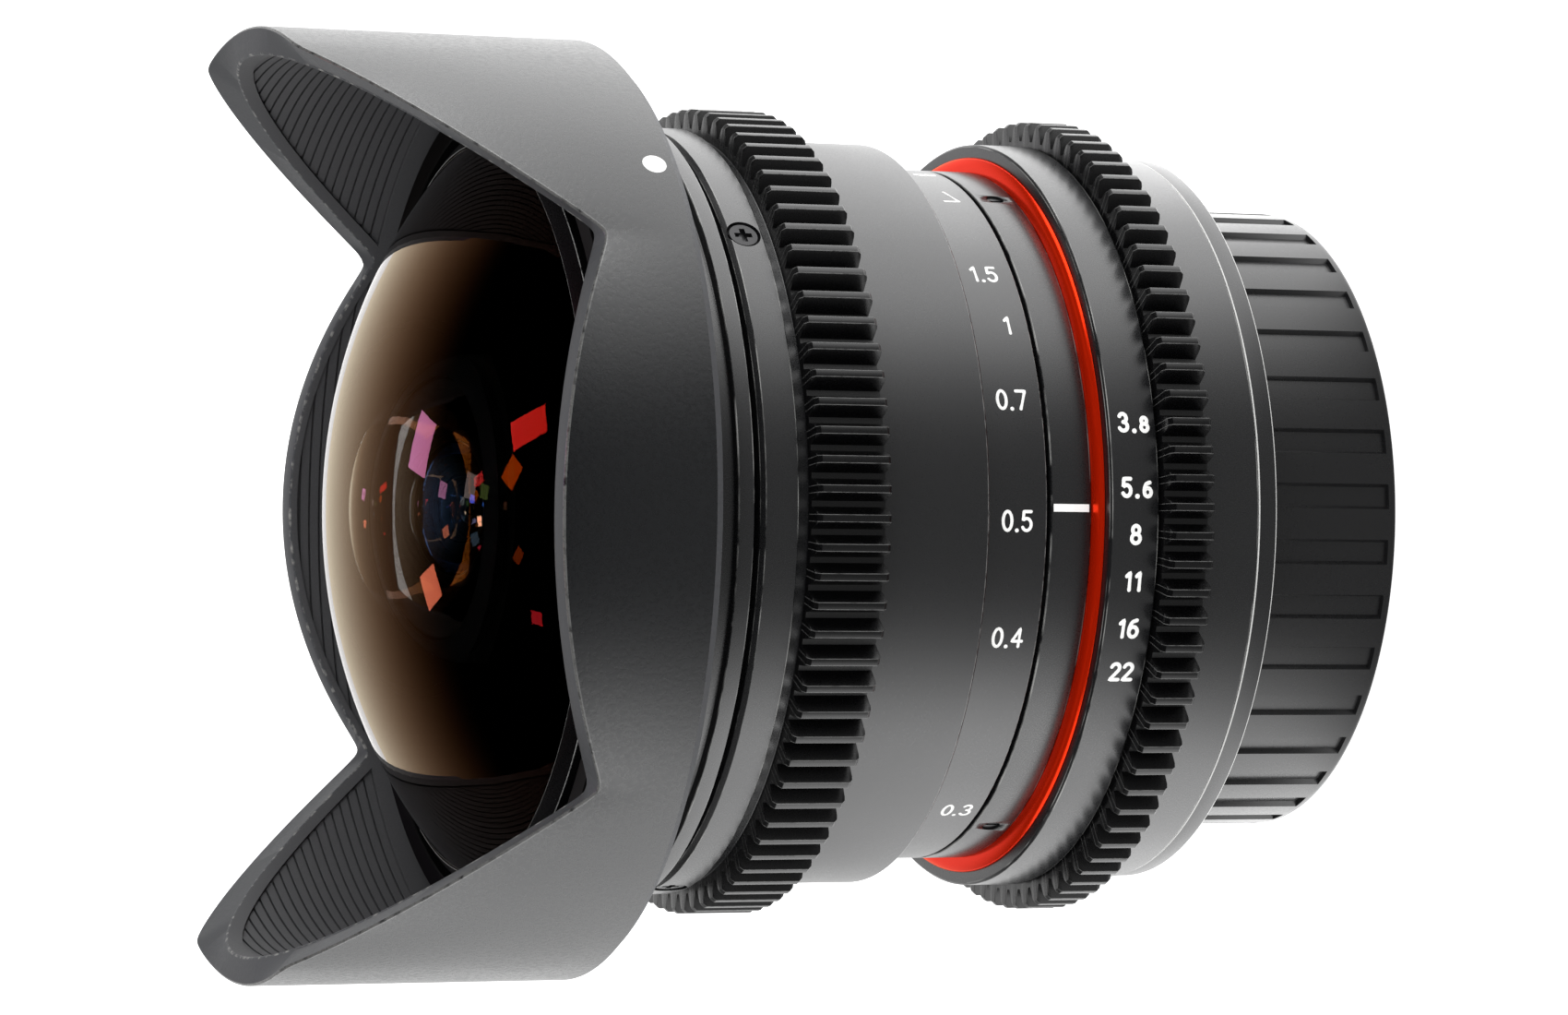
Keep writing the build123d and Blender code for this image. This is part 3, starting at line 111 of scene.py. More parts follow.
# Lamps a metre away that the coated glass mirrors as small coloured spots: picture point, width and height in
# picture pixels, radiance and colour; a pixel of the spot is this much of the lamp
glint_size = 1 / 300
glints = (((457, 482), 34, 38, 7.0, "#D8A0F0"), ((573, 463), 26, 46, 8.0, "#F04858"),
          ((555, 512), 20, 24, 3.5, "#F08A20"), ((510, 527), 16, 20, 4.0, "#9CC4E8"),
          ((525, 533), 12, 12, 2.5, "#70C080"), ((467, 636), 30, 24, 7.0, "#F09A80"),
          ((582, 670), 12, 14, 5.0, "#D84070"), ((515, 584), 12, 10, 3.0, "#5090D0"),
          ((562, 602), 14, 10, 2.0, "#C07838"), ((520, 565), 6, 8, 16.0, "#FFFFFF"),
          ((548, 548), 5, 7, 0.8, "#B0B0B0"))


def to_linear(code):
    """A hex sRGB colour as linear red, green, blue and alpha."""
    parts = [int(code[place:place + 2], 16) / 255 for place in (1, 3, 5)]
    return [part / 12.92 if part <= 0.04045 else ((part + 0.055) / 1.055) ** 2.4 for part in parts] + [1.0]


def add(tree, kind, inputs=None, **settings):
    """Add one node: settings are its properties, inputs its sockets, each a constant or another socket."""
    made = tree.nodes.new(kind)
    for name, value in settings.items():
        setattr(made, name, value)
    for name, value in (inputs or {}).items():
        socket = made.inputs[name]
        if isinstance(value, bpy.types.NodeSocket):
            tree.links.new(value, socket)
        else:
            socket.default_value = value
    return made


def surface(name, points, edge_wear_and_highlight=None, closed_rows=True, keep_angle=30.0, skin=None):
    """A mesh from a grid of points, rows by columns by 3.

    Columns run round the axis and always close on themselves. Rows run along the section: they close too,
    or else the first and last rows are poles. Doubles are merged, so clamped rows leave no stray faces.
    Flagged faces, one flag per row or per face, get the face attribute that gives them the lighter edge tone:
    wear and a painted edge highlight. Skin is each row's material slot.
    """
    rows, columns = points.shape[:2]
    index = np.arange(rows * columns).reshape(rows, columns)
    if closed_rows:
        index = np.vstack([index, index[:1]])
    index = np.hstack([index, index[:, :1]])
    quads = np.stack([index[:-1, :-1], index[:-1, 1:], index[1:, 1:], index[1:, :-1]], axis=-1)
    flags = np.zeros(quads.shape[:2], dtype=float)
    if edge_wear_and_highlight is not None:
        flags[:] = edge_wear_and_highlight[:len(flags)] if np.ndim(edge_wear_and_highlight) == 2 else np.asarray(edge_wear_and_highlight, dtype=float)[:len(flags), None]
    mesh = bpy.data.meshes.new(name)
    mesh.from_pydata(points.reshape(-1, 3).tolist(), [], quads.reshape(-1, 4).tolist())
    mesh.attributes.new("edge_wear_and_highlight", "FLOAT", "FACE").data.foreach_set("value", flags.ravel())
    if skin is not None:
        mesh.polygons.foreach_set("material_index", np.repeat(skin, columns).astype(np.int32))
    return finished(name, mesh, keep_angle)


def finished(name, mesh, keep_angle=30.0):
    """Merge doubles, turn the faces outwards, shade smooth but for real edges, and make the object."""
    shape = bmesh.new()
    shape.from_mesh(mesh)
    bmesh.ops.remove_doubles(shape, verts=shape.verts, dist=weld)
    bmesh.ops.dissolve_degenerate(shape, edges=shape.edges, dist=weld)
    bmesh.ops.recalc_face_normals(shape, faces=shape.faces)
    shape.to_mesh(mesh)
    shape.free()
    mesh.polygons.foreach_set("use_smooth", np.ones(len(mesh.polygons), dtype=bool))
    mesh.set_sharp_from_angle(angle=math.radians(keep_angle))
    piece = bpy.data.objects.new(name, mesh)
    bpy.context.scene.collection.objects.link(piece)
    return piece


def place(piece, body, slot, material, *replaced, more=()):
    """Dress a piece and hang it on its body, in place of CAD nodes where some are named."""
    for finish in (material, *more):
        piece.data.materials.append(finish)
    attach(piece, body)
    if replaced:
        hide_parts(*replaced)


def rounded(outline):
    """A closed outline of (radius, height) in millimetres as metres, each corner turned into an arc.

    An outline point may carry its own corner radius as a third number. An arc's radius is limited so that
    it takes at most 0.45 of the shorter side beside it. The second result flags the steps of outer corners.
    """
    corners = np.array([point[:2] for point in outline]) * MM
    radii = [point[2] * MM if len(point) > 2 else fine_corner for point in outline]
    following = np.roll(corners, -1, axis=0)
    turning = np.sum(corners[:, 0] * following[:, 1] - corners[:, 1] * following[:, 0])
    made, outer = [], []
    for number, corner in enumerate(corners):
        back = corners[number - 1] - corner
        ahead = following[number] - corner
        convex = (back[1] * ahead[0] - back[0] * ahead[1]) * turning > 0
        back_length, ahead_length = np.linalg.norm(back), np.linalg.norm(ahead)
        back, ahead = back / back_length, ahead / ahead_length
        half = math.acos(np.clip(back @ ahead, -1, 1)) / 2
        reach = min(radii[number] / math.tan(half), 0.45 * back_length, 0.45 * ahead_length)
        if reach < weld or abs(half - math.pi / 2) < 0.01:
            made.append(corner)
            outer.append(False)
            continue
        arc_radius = reach * math.tan(half)
        middle = back + ahead
        centre = corner + middle / np.linalg.norm(middle) * math.hypot(reach, arc_radius)
        start, end = corner + back * reach - centre, corner + ahead * reach - centre
        first = math.atan2(start[1], start[0])
        sweep = math.atan2(start[0] * end[1] - start[1] * end[0], start @ end)
        steps = first + sweep * np.linspace(0, 1, corner_steps + 1)
        made += list(centre + arc_radius * np.stack([np.cos(steps), np.sin(steps)], axis=1))
        outer += [bool(convex)] * corner_steps + [False]
    return np.array(made), np.array(outer)


def spun(section, angles):
    """Points of a section of (radius, height) carried round the axis: (r cos a, r sin a, z)."""
    radius = np.broadcast_to(section[..., 0].reshape(len(section), -1), (len(section), len(angles)))
    height = np.broadcast_to(section[..., 1].reshape(len(section), -1), (len(section), len(angles)))
    return np.stack([radius * np.cos(angles), radius * np.sin(angles), height], axis=-1)


def circle(count):
    """Evenly spaced angles round the axis."""
    return np.arange(count) * 2 * math.pi / count


def beside(angles, centre, span):
    """Which angles, in radians, lie within a span about a centre, both in degrees."""
    return np.abs((np.degrees(angles) - centre + 180) % 360 - 180) < span / 2


def turned(name, outline, change=None):
    """A turned ring: its rounded outline carried round the axis.

    A change takes the grids of radius, height and angle, in metres and radians, and gives new radii.
    """
    section, outer = rounded(outline)
    angles = circle(around)
    points = spun(section, angles)
    if change:
        radius, height = np.hypot(points[..., 0], points[..., 1]), points[..., 2]
        radius = change(radius, height, np.broadcast_to(angles, radius.shape))
        points[..., 0], points[..., 1] = radius * np.cos(angles), radius * np.sin(angles)
    return surface(name, points, edge_wear_and_highlight=outer)


def drilled(piece, azimuths, height, hole, floor, top):
    """Cut radial holes into a piece with plain cylinders; all sizes in millimetres."""
    tool = bmesh.new()
    for azimuth in azimuths:
        place_at = (Matrix.Rotation(math.radians(azimuth), 4, "Z")
                    @ Matrix.Translation(((floor + top) / 2 * MM, 0, height * MM))
                    @ Matrix.Rotation(math.pi / 2, 4, "Y"))
        bmesh.ops.create_cone(tool, cap_ends=True, segments=48, radius1=hole * MM, radius2=hole * MM,
                              depth=(top - floor) * MM, matrix=place_at)
    mesh = bpy.data.meshes.new("drill")
    tool.to_mesh(mesh)
    tool.free()
    drill = bpy.data.objects.new("drill", mesh)
    bpy.context.scene.collection.objects.link(drill)
    cut = piece.modifiers.new("holes", "BOOLEAN")
    cut.object, cut.operation, cut.solver = drill, "DIFFERENCE", "EXACT"
    baked = bpy.data.meshes.new_from_object(piece.evaluated_get(bpy.context.evaluated_depsgraph_get()))
    piece.modifiers.clear()
    piece.data = baked
    bpy.data.objects.remove(drill)


def span(name):
    """Back and front of a CAD node in millimetres."""
    lowest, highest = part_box(name)
    return lowest.z / MM, highest.z / MM


def tooth_columns(first_angle):
    """Angles and radii round a gear: straight 20 degree flanks from root to tip, with tiny corner breaks."""
    tip, root = gear_tip, gear_root
    pitch_radius = tip - gear_module
    quarter = math.pi / (2 * gear_teeth)
    slope = math.tan(pressure_angle) / pitch_radius
    at_tip = quarter - slope * (tip - pitch_radius)
    at_root = quarter + slope * (pitch_radius - root)
    corner = tooth_break / tip
    flank = np.linspace(0, 1, 4)[1:-1]
    side_angles = np.concatenate([[at_tip - corner, at_tip - 0.3 * corner, at_tip + 0.02 * corner],
                                  at_tip + (at_root - at_tip) * flank, [at_root]])
    side_radii = np.concatenate([[tip, tip - 0.3 * tooth_break, tip - tooth_break],
                                 tip + (root - tip) * flank, [root]])
    gap = [math.pi / gear_teeth]
    angles = np.concatenate([[0.0], side_angles, gap, -side_angles[::-1]])
    radii = np.concatenate([[tip], side_radii, [root], side_radii[::-1]])
    edge_wear_and_highlight = np.array([0, 1, 1] + [0] * (len(angles) - 6) + [1, 1, 0]) * tooth_edge_tone
    order = math.radians(first_angle) + 2 * math.pi / gear_teeth * np.arange(gear_teeth)[:, None]
    steps = np.where(np.arange(len(angles)) > len(side_angles) + 1, 2 * math.pi / gear_teeth, 0)
    return (order + angles + steps).ravel(), np.tile(radii, gear_teeth), np.tile(edge_wear_and_highlight, gear_teeth)


def geared(name, outline, first_angle, gear_back, gear_front):
    """A turned ring whose rows at the gear's stations are cut down to the teeth.

    The outline runs past the teeth at tip radius; between the stations each radius is the smaller of the
    outline's and the tooth profile's.
    """
    angles, profile, column_edge_tone = tooth_columns(first_angle)
    section, outer = rounded(outline)
    points = spun(section, angles)
    radius, height = np.hypot(points[..., 0], points[..., 1]), points[..., 2]
    inside = (height > (gear_back - 0.001) * MM) & (height < (gear_front + 0.001) * MM)
    cut = np.where(inside, np.minimum(radius, profile * MM), radius)
    points[..., 0], points[..., 1] = cut * np.cos(angles), cut * np.sin(angles)
    at_tip = inside & (cut > (gear_tip - tooth_crown) * MM)
    edge_wear_and_highlight = np.maximum(outer[:, None] * ~inside, column_edge_tone[None, :] * at_tip)
    # Rows wholly within the teeth take the second slot, the black darkened as painted shade
    return surface(name, points, edge_wear_and_highlight=edge_wear_and_highlight, keep_angle=25, skin=inside.all(axis=1).astype(int))


def petal_edge(radius, angles, short_drop=0.0, long_drop=0.0):
    """Height of the scalloped edge, cut along Y: a low arc on the short petals, slopes on the long ones.

    Soft maximum and minimum (half of a + b + or - sqrt((a - b)^2 + k^2)) round the notches and the tips.
    """
    across = np.abs(radius * np.cos(angles))
    back, front = span("hood")
    arc = back + petal_height - short_drop - (
        petal_arc - np.sqrt(petal_arc ** 2 - np.minimum(across, arc_reach) ** 2))
    slope = back + slope_height - long_drop + slope_rise * (across - slope_start)
    tip = front - long_drop
    steep = 0.5 * (slope + tip - np.sqrt((slope - tip) ** 2 + tip_softness ** 2))
    return 0.5 * (arc + steep + np.sqrt((arc - steep) ** 2 + notch_softness ** 2))


def hood_surface():
    """The petal hood as one closed grid of rows by columns.

    Rows follow the section: base, outside, edge, inside with its grooved panel, collar, bore and lugs.
    Heights above the scalloped edge are clamped to it, so the grooves run out at the edge of the panel.
    Sides: 0 the blasted outside, 1 the cut edges, 2 the painted inside, 3 the dark collar.
    """
    angles = circle(720)
    outer, inner, bore = hood_radius, 40.48, 35.08
    recess, deep = inner + 0.25, inner + 0.6
    back, front = span("hood")
    base_front, panel_back = back + 4.0, back + 8.45
    chamfer, break_size, steepest = 0.8, 0.22, 2.2
    grooves, groove_step, groove_width = 21, 1.0, 0.22
    collar_inside, collar_outside, collar_chamfer, collar_front = 0.8, 3.1, 0.1, 3.85
    lug_reach, lug_span, lug_back, lug_front = 1.5, 34, 1.25, 2.75
    one = np.ones(len(angles))
    rows, edge_wear_and_highlight, skin = [], [], []

    def row(radius, height, flag=0, side=0):
        rows.append(np.stack([radius * one, height * one], axis=-1))
        edge_wear_and_highlight.append(flag)
        skin.append(side)

    def steepness(radius):
        edge = petal_edge(radius, angles)
        rise = (np.roll(edge, -1) - np.roll(edge, 1)) / (2 * (angles[1] - angles[0]) * radius)
        return np.minimum(np.sqrt(1 + rise ** 2), steepest)

    row(outer - chamfer, back, side=1)
    row(outer, back + chamfer)
    drop = steepness(outer)
    edge = petal_edge(outer, angles)
    for turn in np.linspace(0, math.pi / 2, 4):
        row(outer - break_size * (1 - math.cos(turn)), edge - break_size * drop * (1 - math.sin(turn)),
            turn < math.pi / 2, 0 if turn < 1.2 else 1)
    drop = steepness(inner)
    edge = petal_edge(inner, angles)
    for turn in np.linspace(math.pi / 2, 0, 4):
        row(inner + break_size * (1 - math.cos(turn)), edge - break_size * drop * (1 - math.sin(turn)),
            turn > 0, 1 if turn > 0 else 2)
    panel = np.maximum(petal_edge(recess, angles, short_frame, long_frame), panel_back)
    open_panel = panel > panel_back + 0.01
    row(inner, panel, side=2)
    levels = front - long_frame - np.arange(grooves) * groove_step
    bottoms = np.maximum(levels - groove_width, panel_back + 0.02)
    in_groove = np.any((panel[None, :] < levels[:, None]) & (panel[None, :] > bottoms[:, None]), axis=0)
    at_edge = np.where(in_groove, deep, recess)
    row(np.where(open_panel, at_edge, inner), panel, side=2)
    for level, bottom in zip(levels, bottoms):
        for radius, height in ((recess, level), (deep, level), (deep, bottom), (recess, bottom)):
            row(np.where(open_panel, np.where(height < panel, radius, at_edge), inner),
                np.minimum(height, panel), side=2)
    row(np.where(open_panel, recess, inner), panel_back, side=2)
    row(inner, panel_back, side=2)
    row(inner, base_front, side=3)
    row(bore + collar_outside, base_front, side=3)
    row(bore + collar_outside, base_front + collar_front - collar_chamfer, side=3)
    row(bore + collar_outside - collar_chamfer, base_front + collar_front, side=3)
    row(bore + collar_inside + collar_chamfer, base_front + collar_front, side=3)
    row(bore + collar_inside, base_front + collar_front - collar_chamfer, side=3)
    row(bore + collar_inside, base_front)
    row(bore, base_front)
    lug = bore - lug_reach * np.any([beside(angles, 30 + 120 * turn, lug_span) for turn in range(3)], axis=0)
    row(bore, back + lug_front)
    row(lug, back + lug_front)
    row(lug, back + lug_back)
    row(bore, back + lug_back)
    row(bore, back)
    section = np.array(rows) * MM
    return surface("petal_hood", spun(section, angles), edge_wear_and_highlight=edge_wear_and_highlight, skin=skin)


def cap_surface():
    """The ribbed cap: every outer row is moved inwards by the depth of the groove at its angle.

    The wall behind the smooth rim has no grooves. Angles within a rib's pitch are in degrees.
    """
    ribs, columns = 36, 20
    pitch, first_rib, rib_half, flank, rib_edge_band = 360 / ribs, 269.25, 2.8, 0.15, 0.4
    groove_depth, rim, corner, chamfer = 0.45, 0.9, 0.5, 0.15
    angles = circle(ribs * columns)
    back, front = span("rear_cap")
    outer, bore, floor = 29.3, 27.4, back + 1.6
    turn = np.linspace(0, math.pi / 2, 6)
    rounding = [(outer - corner + corner * math.sin(step), back + corner - corner * math.cos(step))
                for step in turn]
    outside = np.array([(0.0, back)] + rounding + [(outer, back + rim - 0.05), (outer, back + rim + 0.05),
                                                   (outer, front - chamfer), (outer - chamfer, front)])
    inside = np.array([(bore, front), (bore, floor), (0.0, floor)])
    place_in = (np.degrees(angles) - first_rib + pitch / 2) % pitch - pitch / 2
    depth = groove_depth * np.clip((np.abs(place_in) - rib_half) / flank, 0, 1)
    share = (outside[:, 1] > back + rim).astype(float)
    radius = outside[:, :1] - share[:, None] * depth[None, :]
    height = np.broadcast_to(outside[:, 1:], radius.shape)
    radius = np.vstack([radius, np.broadcast_to(inside[:, :1], (3, len(angles)))])
    height = np.vstack([height, np.broadcast_to(inside[:, 1:], (3, len(angles)))])
    points = np.stack([radius * np.cos(angles), radius * np.sin(angles), height], axis=-1) * MM
    # Rib edges are flagged for the lighter edge tone: a painted highlight along each rib
    edge = ((np.abs(np.abs(place_in) - rib_half) < rib_edge_band)[None, :] & (height > back + 1)
            & (np.arange(len(radius))[:, None] < len(outside)))
    return surface("ribbed_cap", points, edge_wear_and_highlight=edge.astype(float), closed_rows=False)


def element(name, front_curve, front_clear, back_curve, back_clear, rim):
    """A glass element: spherical faces, height = vertex -+ (R - sqrt(R^2 - r^2)), flat seats and a round rim.

    A curvature is positive when its centre lies behind the surface; all sizes are in millimetres.
    """
    back, front = span(name)
    steps = 50

    def sag(curve, radius):
        return math.copysign(1, curve) * (abs(curve) - np.sqrt(curve ** 2 - radius ** 2))

    front_radius = np.linspace(0, 1, steps) * front_clear
    front_vertex = front if front_curve > 0 else front + sag(front_curve, front_clear)
    back_radius = np.linspace(1, 0, steps) * back_clear
    back_vertex = back if back_curve < 0 else back + sag(back_curve, back_clear)
    radius = np.concatenate([front_radius, [rim, rim], back_radius])
    height = np.concatenate([front_vertex - sag(front_curve, front_radius),
                             [front_vertex - sag(front_curve, front_clear),
                              back_vertex - sag(back_curve, back_clear)],
                             back_vertex - sag(back_curve, back_radius)])
    skin = np.zeros(len(radius) - 1)
    skin[steps - 1:steps + 2] = 1
    return surface(name + "_polished", spun(np.stack([radius, height], axis=-1) * MM, circle(180)),
                   closed_rows=False, keep_angle=20, skin=skin)


# White marks: strokes in a cell one high, u to the right and v up
side_bearing = 0.08          # blank beside the last stroke of a cell
point_share = 1.25           # a point is this much wider than a stroke


def bow(middle_u, middle_v, half_u, half_v, start, end, count=14):
    """Points of an ellipse's arc between two angles in degrees."""
    turn = np.radians(np.linspace(start, end, count))
    return np.stack([middle_u + half_u * np.cos(turn), middle_v + half_v * np.sin(turn)], axis=-1)


glyphs = {
    "0": (0.62, [bow(0.27, 0.5, 0.25, 0.5, 90, 450, 32)]),
    "1": (0.42, [np.array([(0.05, 0.8), (0.25, 1.0), (0.25, 0.0)])]),
    "2": (0.6, [np.vstack([bow(0.27, 0.74, 0.25, 0.26, 165, -35), [(0.02, 0.0), (0.54, 0.0)]])]),
    "3": (0.6, [bow(0.25, 0.75, 0.22, 0.25, 155, -85), bow(0.25, 0.26, 0.26, 0.26, 85, -155)]),
    "4": (0.62, [np.array([(0.4, 0.0), (0.4, 1.0), (0.0, 0.3), (0.56, 0.3)])]),
    "5": (0.6, [np.vstack([[(0.5, 1.0), (0.09, 1.0), (0.05, 0.55)], bow(0.25, 0.32, 0.26, 0.32, 125, -150)])]),
    "6": (0.6, [bow(0.27, 0.3, 0.26, 0.3, 90, 450, 28),
                np.vstack([[(0.44, 1.0)], bow(0.36, 0.36, 0.35, 0.62, 115, 185, 10)])]),
    "7": (0.58, [np.array([(0.0, 1.0), (0.52, 1.0), (0.2, 0.0)])]),
    "8": (0.62, [bow(0.27, 0.76, 0.21, 0.24, 90, 450, 26), bow(0.27, 0.27, 0.26, 0.27, 90, 450, 28)]),
    ".": (0.36, [np.array([(0.12, 0.0), (0.13, 0.0)])]),
    "infinity": (1.3, [np.vstack([bow(0.3, 0.4, 0.28, 0.25, 35, 325, 24),
                                  bow(0.9, 0.4, 0.28, 0.25, -145, 145, 24), [(0.53, 0.55)]])]),
    "corner": (0.8, [np.array([(-0.1, 0.0), (0.75, 0.0), (0.3, 1.3)])]),
}


def stroke(path, half_width, rise):
    """A flattened tube along a path in the plane with round ends.

    Points are path + side * w cos t and height h sin t, with w and h scaled by sqrt(1 - e^2), where e runs
    from 1 at an end to 0 one half width inside it.
    """
    closed = np.allclose(path[0], path[-1])
    steps = np.linalg.norm(np.diff(path, axis=0), axis=1)
    run = np.concatenate([[0], np.cumsum(steps)])
    places = [run]
    corners = run[1:-1]
    for offset in (-0.5, 0.5):
        places.append(np.clip(corners + offset * half_width, 0, run[-1]))
    ends = half_width * (1 - np.cos(np.linspace(0, math.pi / 2, 5)))
    extended = np.unique(np.round(np.concatenate(places), 5))
    line = np.stack([np.interp(extended, run, path[:, axis]) for axis in (0, 1)], axis=-1)
    size = np.ones(len(line))
    if not closed:
        ahead = (path[1] - path[0]) / steps[0]
        behind = (path[-1] - path[-2]) / steps[-1]
        line = np.vstack([path[0] - ahead * (half_width - ends[:-1, None]), line,
                          path[-1] + behind * (half_width - ends[-2::-1, None])])
        cap = np.sqrt(np.maximum(1 - ((half_width - ends[:-1]) / half_width) ** 2, 0))
        size = np.concatenate([cap, size, cap[::-1]])
    tangent = np.gradient(line, axis=0)
    if closed:
        tangent[0] = tangent[-1] = line[1] - line[-2]
    tangent /= np.linalg.norm(tangent, axis=1)[:, None]
    side = np.stack([-tangent[:, 1], tangent[:, 0]], axis=-1)
    turn = np.arange(8) * math.pi / 4
    flat = line[:, None, :] + side[:, None, :] * (half_width * size[:, None] * np.cos(turn))[:, :, None]
    lift = rise * size[:, None] * np.sin(turn)
    return np.concatenate([flat, lift[:, :, None]], axis=-1)


def written(name, texts, ring_radius, height, half_width, space, small=1.0, rise=0.02):
    """Marks wrapped on a ring. Each text is (glyphs, degrees above the index side, middle height).

    u runs towards the rear (-Z) and v round the axis, so azimuth = index side + v / radius; millimetres.
    The digits stand "space" further apart than their cells, and those after a point are drawn at the share
    "small" of the height.
    """
    points, quads = [], []
    total = 0
    for text, turn, middle in texts:
        sizes = [small if text[:place_in].count(".") else 1.0 for place_in in range(len(text))]
        advances = [size * (glyphs[key][0] + space) for key, size in zip(text, sizes)]
        start = (side_bearing + space - sum(advances)) / 2
        for key, size, advance in zip(text, sizes, advances):
            for path in glyphs[key][1]:
                flat = (path * size + np.array([start, -0.5])) * height
                grid = stroke(flat, half_width * (point_share if key == "." else 1), rise)
                station = middle - grid[..., 0]
                radius = ring_radius + grid[..., 2]
                azimuth = math.radians(index_angle + turn) + grid[..., 1] / ring_radius
                rows, columns = grid.shape[:2]
                points.append(np.stack([radius * np.cos(azimuth), radius * np.sin(azimuth), station],
                                       axis=-1).reshape(-1, 3) * MM)
                index = total + np.arange(rows * columns).reshape(rows, columns)
                wrapped = np.hstack([index, index[:, :1]])
                quads.append(np.stack([wrapped[:-1, :-1], wrapped[:-1, 1:], wrapped[1:, 1:], wrapped[1:, :-1]],
                                      axis=-1).reshape(-1, 4))
                total += rows * columns
            start += advance
    mesh = bpy.data.meshes.new(name)
    mesh.from_pydata(np.vstack(points).tolist(), [], np.vstack(quads).tolist())
    return finished(name, mesh, keep_angle=60)


def patch(name, outline, ring_radius, turn, middle, rise=0.02):
    """A flat painted mark: rings of a closed outline in millimetres, scaled towards its middle and lifted."""
    rings = np.array([1.0, 0.97, 0.9, 0.0])
    lifts = np.array([-0.5, 0.6, 1.0, 1.0]) * rise
    grid = outline[None, :, :] * rings[:, None, None]
    station = middle - grid[..., 0]
    radius = ring_radius + lifts[:, None]
    azimuth = math.radians(index_angle + turn) + grid[..., 1] / ring_radius
    points = np.stack([radius * np.cos(azimuth), radius * np.sin(azimuth), station], axis=-1) * MM
    under = points[:1].mean(axis=1, keepdims=True) * np.ones((1, len(outline), 1))
    return surface(name, np.vstack([under, points]), closed_rows=False, keep_angle=60)


# Materials
def material(name):
    """A new material with a bare Principled shader; returns the material, its tree and the shader."""
    made = bpy.data.materials.new(name)
    made.use_nodes = True
    tree = made.node_tree
    shader = next(node for node in tree.nodes if node.type == "BSDF_PRINCIPLED")
    return made, tree, shader


def setting(shader, **values):
    """Set a shader's sockets by name, with underscores for spaces."""
    for name, value in values.items():
        shader.inputs[name.replace("_", " ")].default_value = value


def plain_finish(name, **values):
    """An even finish: a shader with constant sockets."""
    made, _, shader = material(name)
    setting(shader, **values)
    return made


def grain(tree, shader, size_mm, strength, height_mm, roughness_low, roughness_high, tone):
    """Speckle of a given real size: two tones of the base colour, a spread of roughness and a fine bump."""
    place_at = add(tree, "ShaderNodeTexCoord").outputs["Object"]
    fine = add(tree, "ShaderNodeTexNoise", {"Vector": place_at, "Scale": 1 / (size_mm * MM), "Detail": 3.0,
                                            "Roughness": 0.6})
    wide = add(tree, "ShaderNodeTexNoise", {"Vector": place_at, "Scale": 1 / (9 * MM), "Detail": 2.0})
    rough = add(tree, "ShaderNodeMapRange", {"Value": fine.outputs["Fac"], "From Min": 0.3, "From Max": 0.7,
                                             "To Min": roughness_low, "To Max": roughness_high})
    spread = add(tree, "ShaderNodeMapRange", {"Value": wide.outputs["Fac"], "From Min": 0.3, "From Max": 0.7,
                                              "To Min": -0.02, "To Max": 0.02})
    total = add(tree, "ShaderNodeMath", {0: rough.outputs["Result"], 1: spread.outputs["Result"]},
                operation="ADD")
    tree.links.new(total.outputs[0], shader.inputs["Roughness"])
    dark, light = tone
    mixed = add(tree, "ShaderNodeMix", {0: fine.outputs["Fac"], 6: to_linear(dark), 7: to_linear(light)},
                data_type="RGBA")
    bump = add(tree, "ShaderNodeBump", {"Height": fine.outputs["Fac"], "Strength": strength,
                                        "Distance": height_mm * MM})
    tree.links.new(bump.outputs["Normal"], shader.inputs["Normal"])
    return place_at, mixed.outputs[2]


def edges_bared_and_lit(tree, shader, place_at, colour, edge_tone, patch_mm, low_cut, high_cut):
    """Where a corner is flagged, patches of a real size show the lighter edge tone instead of the colour: wear
    and a painted edge highlight.
    """
    flag = add(tree, "ShaderNodeAttribute", attribute_name="edge_wear_and_highlight").outputs["Fac"]
    patches = add(tree, "ShaderNodeTexNoise", {"Vector": place_at, "Scale": 1 / (patch_mm * MM), "Detail": 3.0})
    share = add(tree, "ShaderNodeMapRange", {"Value": patches.outputs["Fac"], "From Min": low_cut,
                                             "From Max": high_cut}).outputs["Result"]
    factor = add(tree, "ShaderNodeMath", {0: flag, 1: share}, operation="MULTIPLY").outputs[0]
    mixed = add(tree, "ShaderNodeMix", {0: factor, 6: colour, 7: to_linear(edge_tone)}, data_type="RGBA")
    tree.links.new(mixed.outputs[2], shader.inputs["Base Color"])


def black_finish(name, tone, grain_mm, bump, roughness, edge_tone, cuts=(0.4, 0.65), level=0.5, depth=0.01,
                 patch_mm=0.8):
    """A black finish: grain of a real size in tone, roughness and height, and flagged corners in a lighter edge
    tone that stands for wear and a painted edge highlight.
    """
    made, tree, shader = material(name)
    place_at, colour = grain(tree, shader, grain_mm, bump, depth, roughness[0], roughness[1], tone)
    edges_bared_and_lit(tree, shader, place_at, colour, edge_tone, patch_mm, cuts[0], cuts[1])
    setting(shader, IOR=1.5, Specular_IOR_Level=level)
    return made


# Black anodised aluminium, turned: satin, near black; the oxide reflects more than a paint does
# Its flagged edges show grey patches: wear and a painted edge highlight
anodised_black = black_finish("black_anodised_aluminium", ("#101112", "#19191B"), 0.12, 0.05, (0.24, 0.36),
                              "#8A8A88", (0.42, 0.64), level=0.85, patch_mm=4.5)
# The same darkened as painted shade, for the gear teeth where little light comes in and for the bezel; the
# tooth edges take the lighter edge tone of wear and painted highlight
black_painted_shade = black_finish("black_anodised_painted_shade", ("#050506", "#0B0B0C"), 0.12, 0.05, (0.24, 0.36),
                          "#A0A09F", (0.2, 0.5), level=0.5)
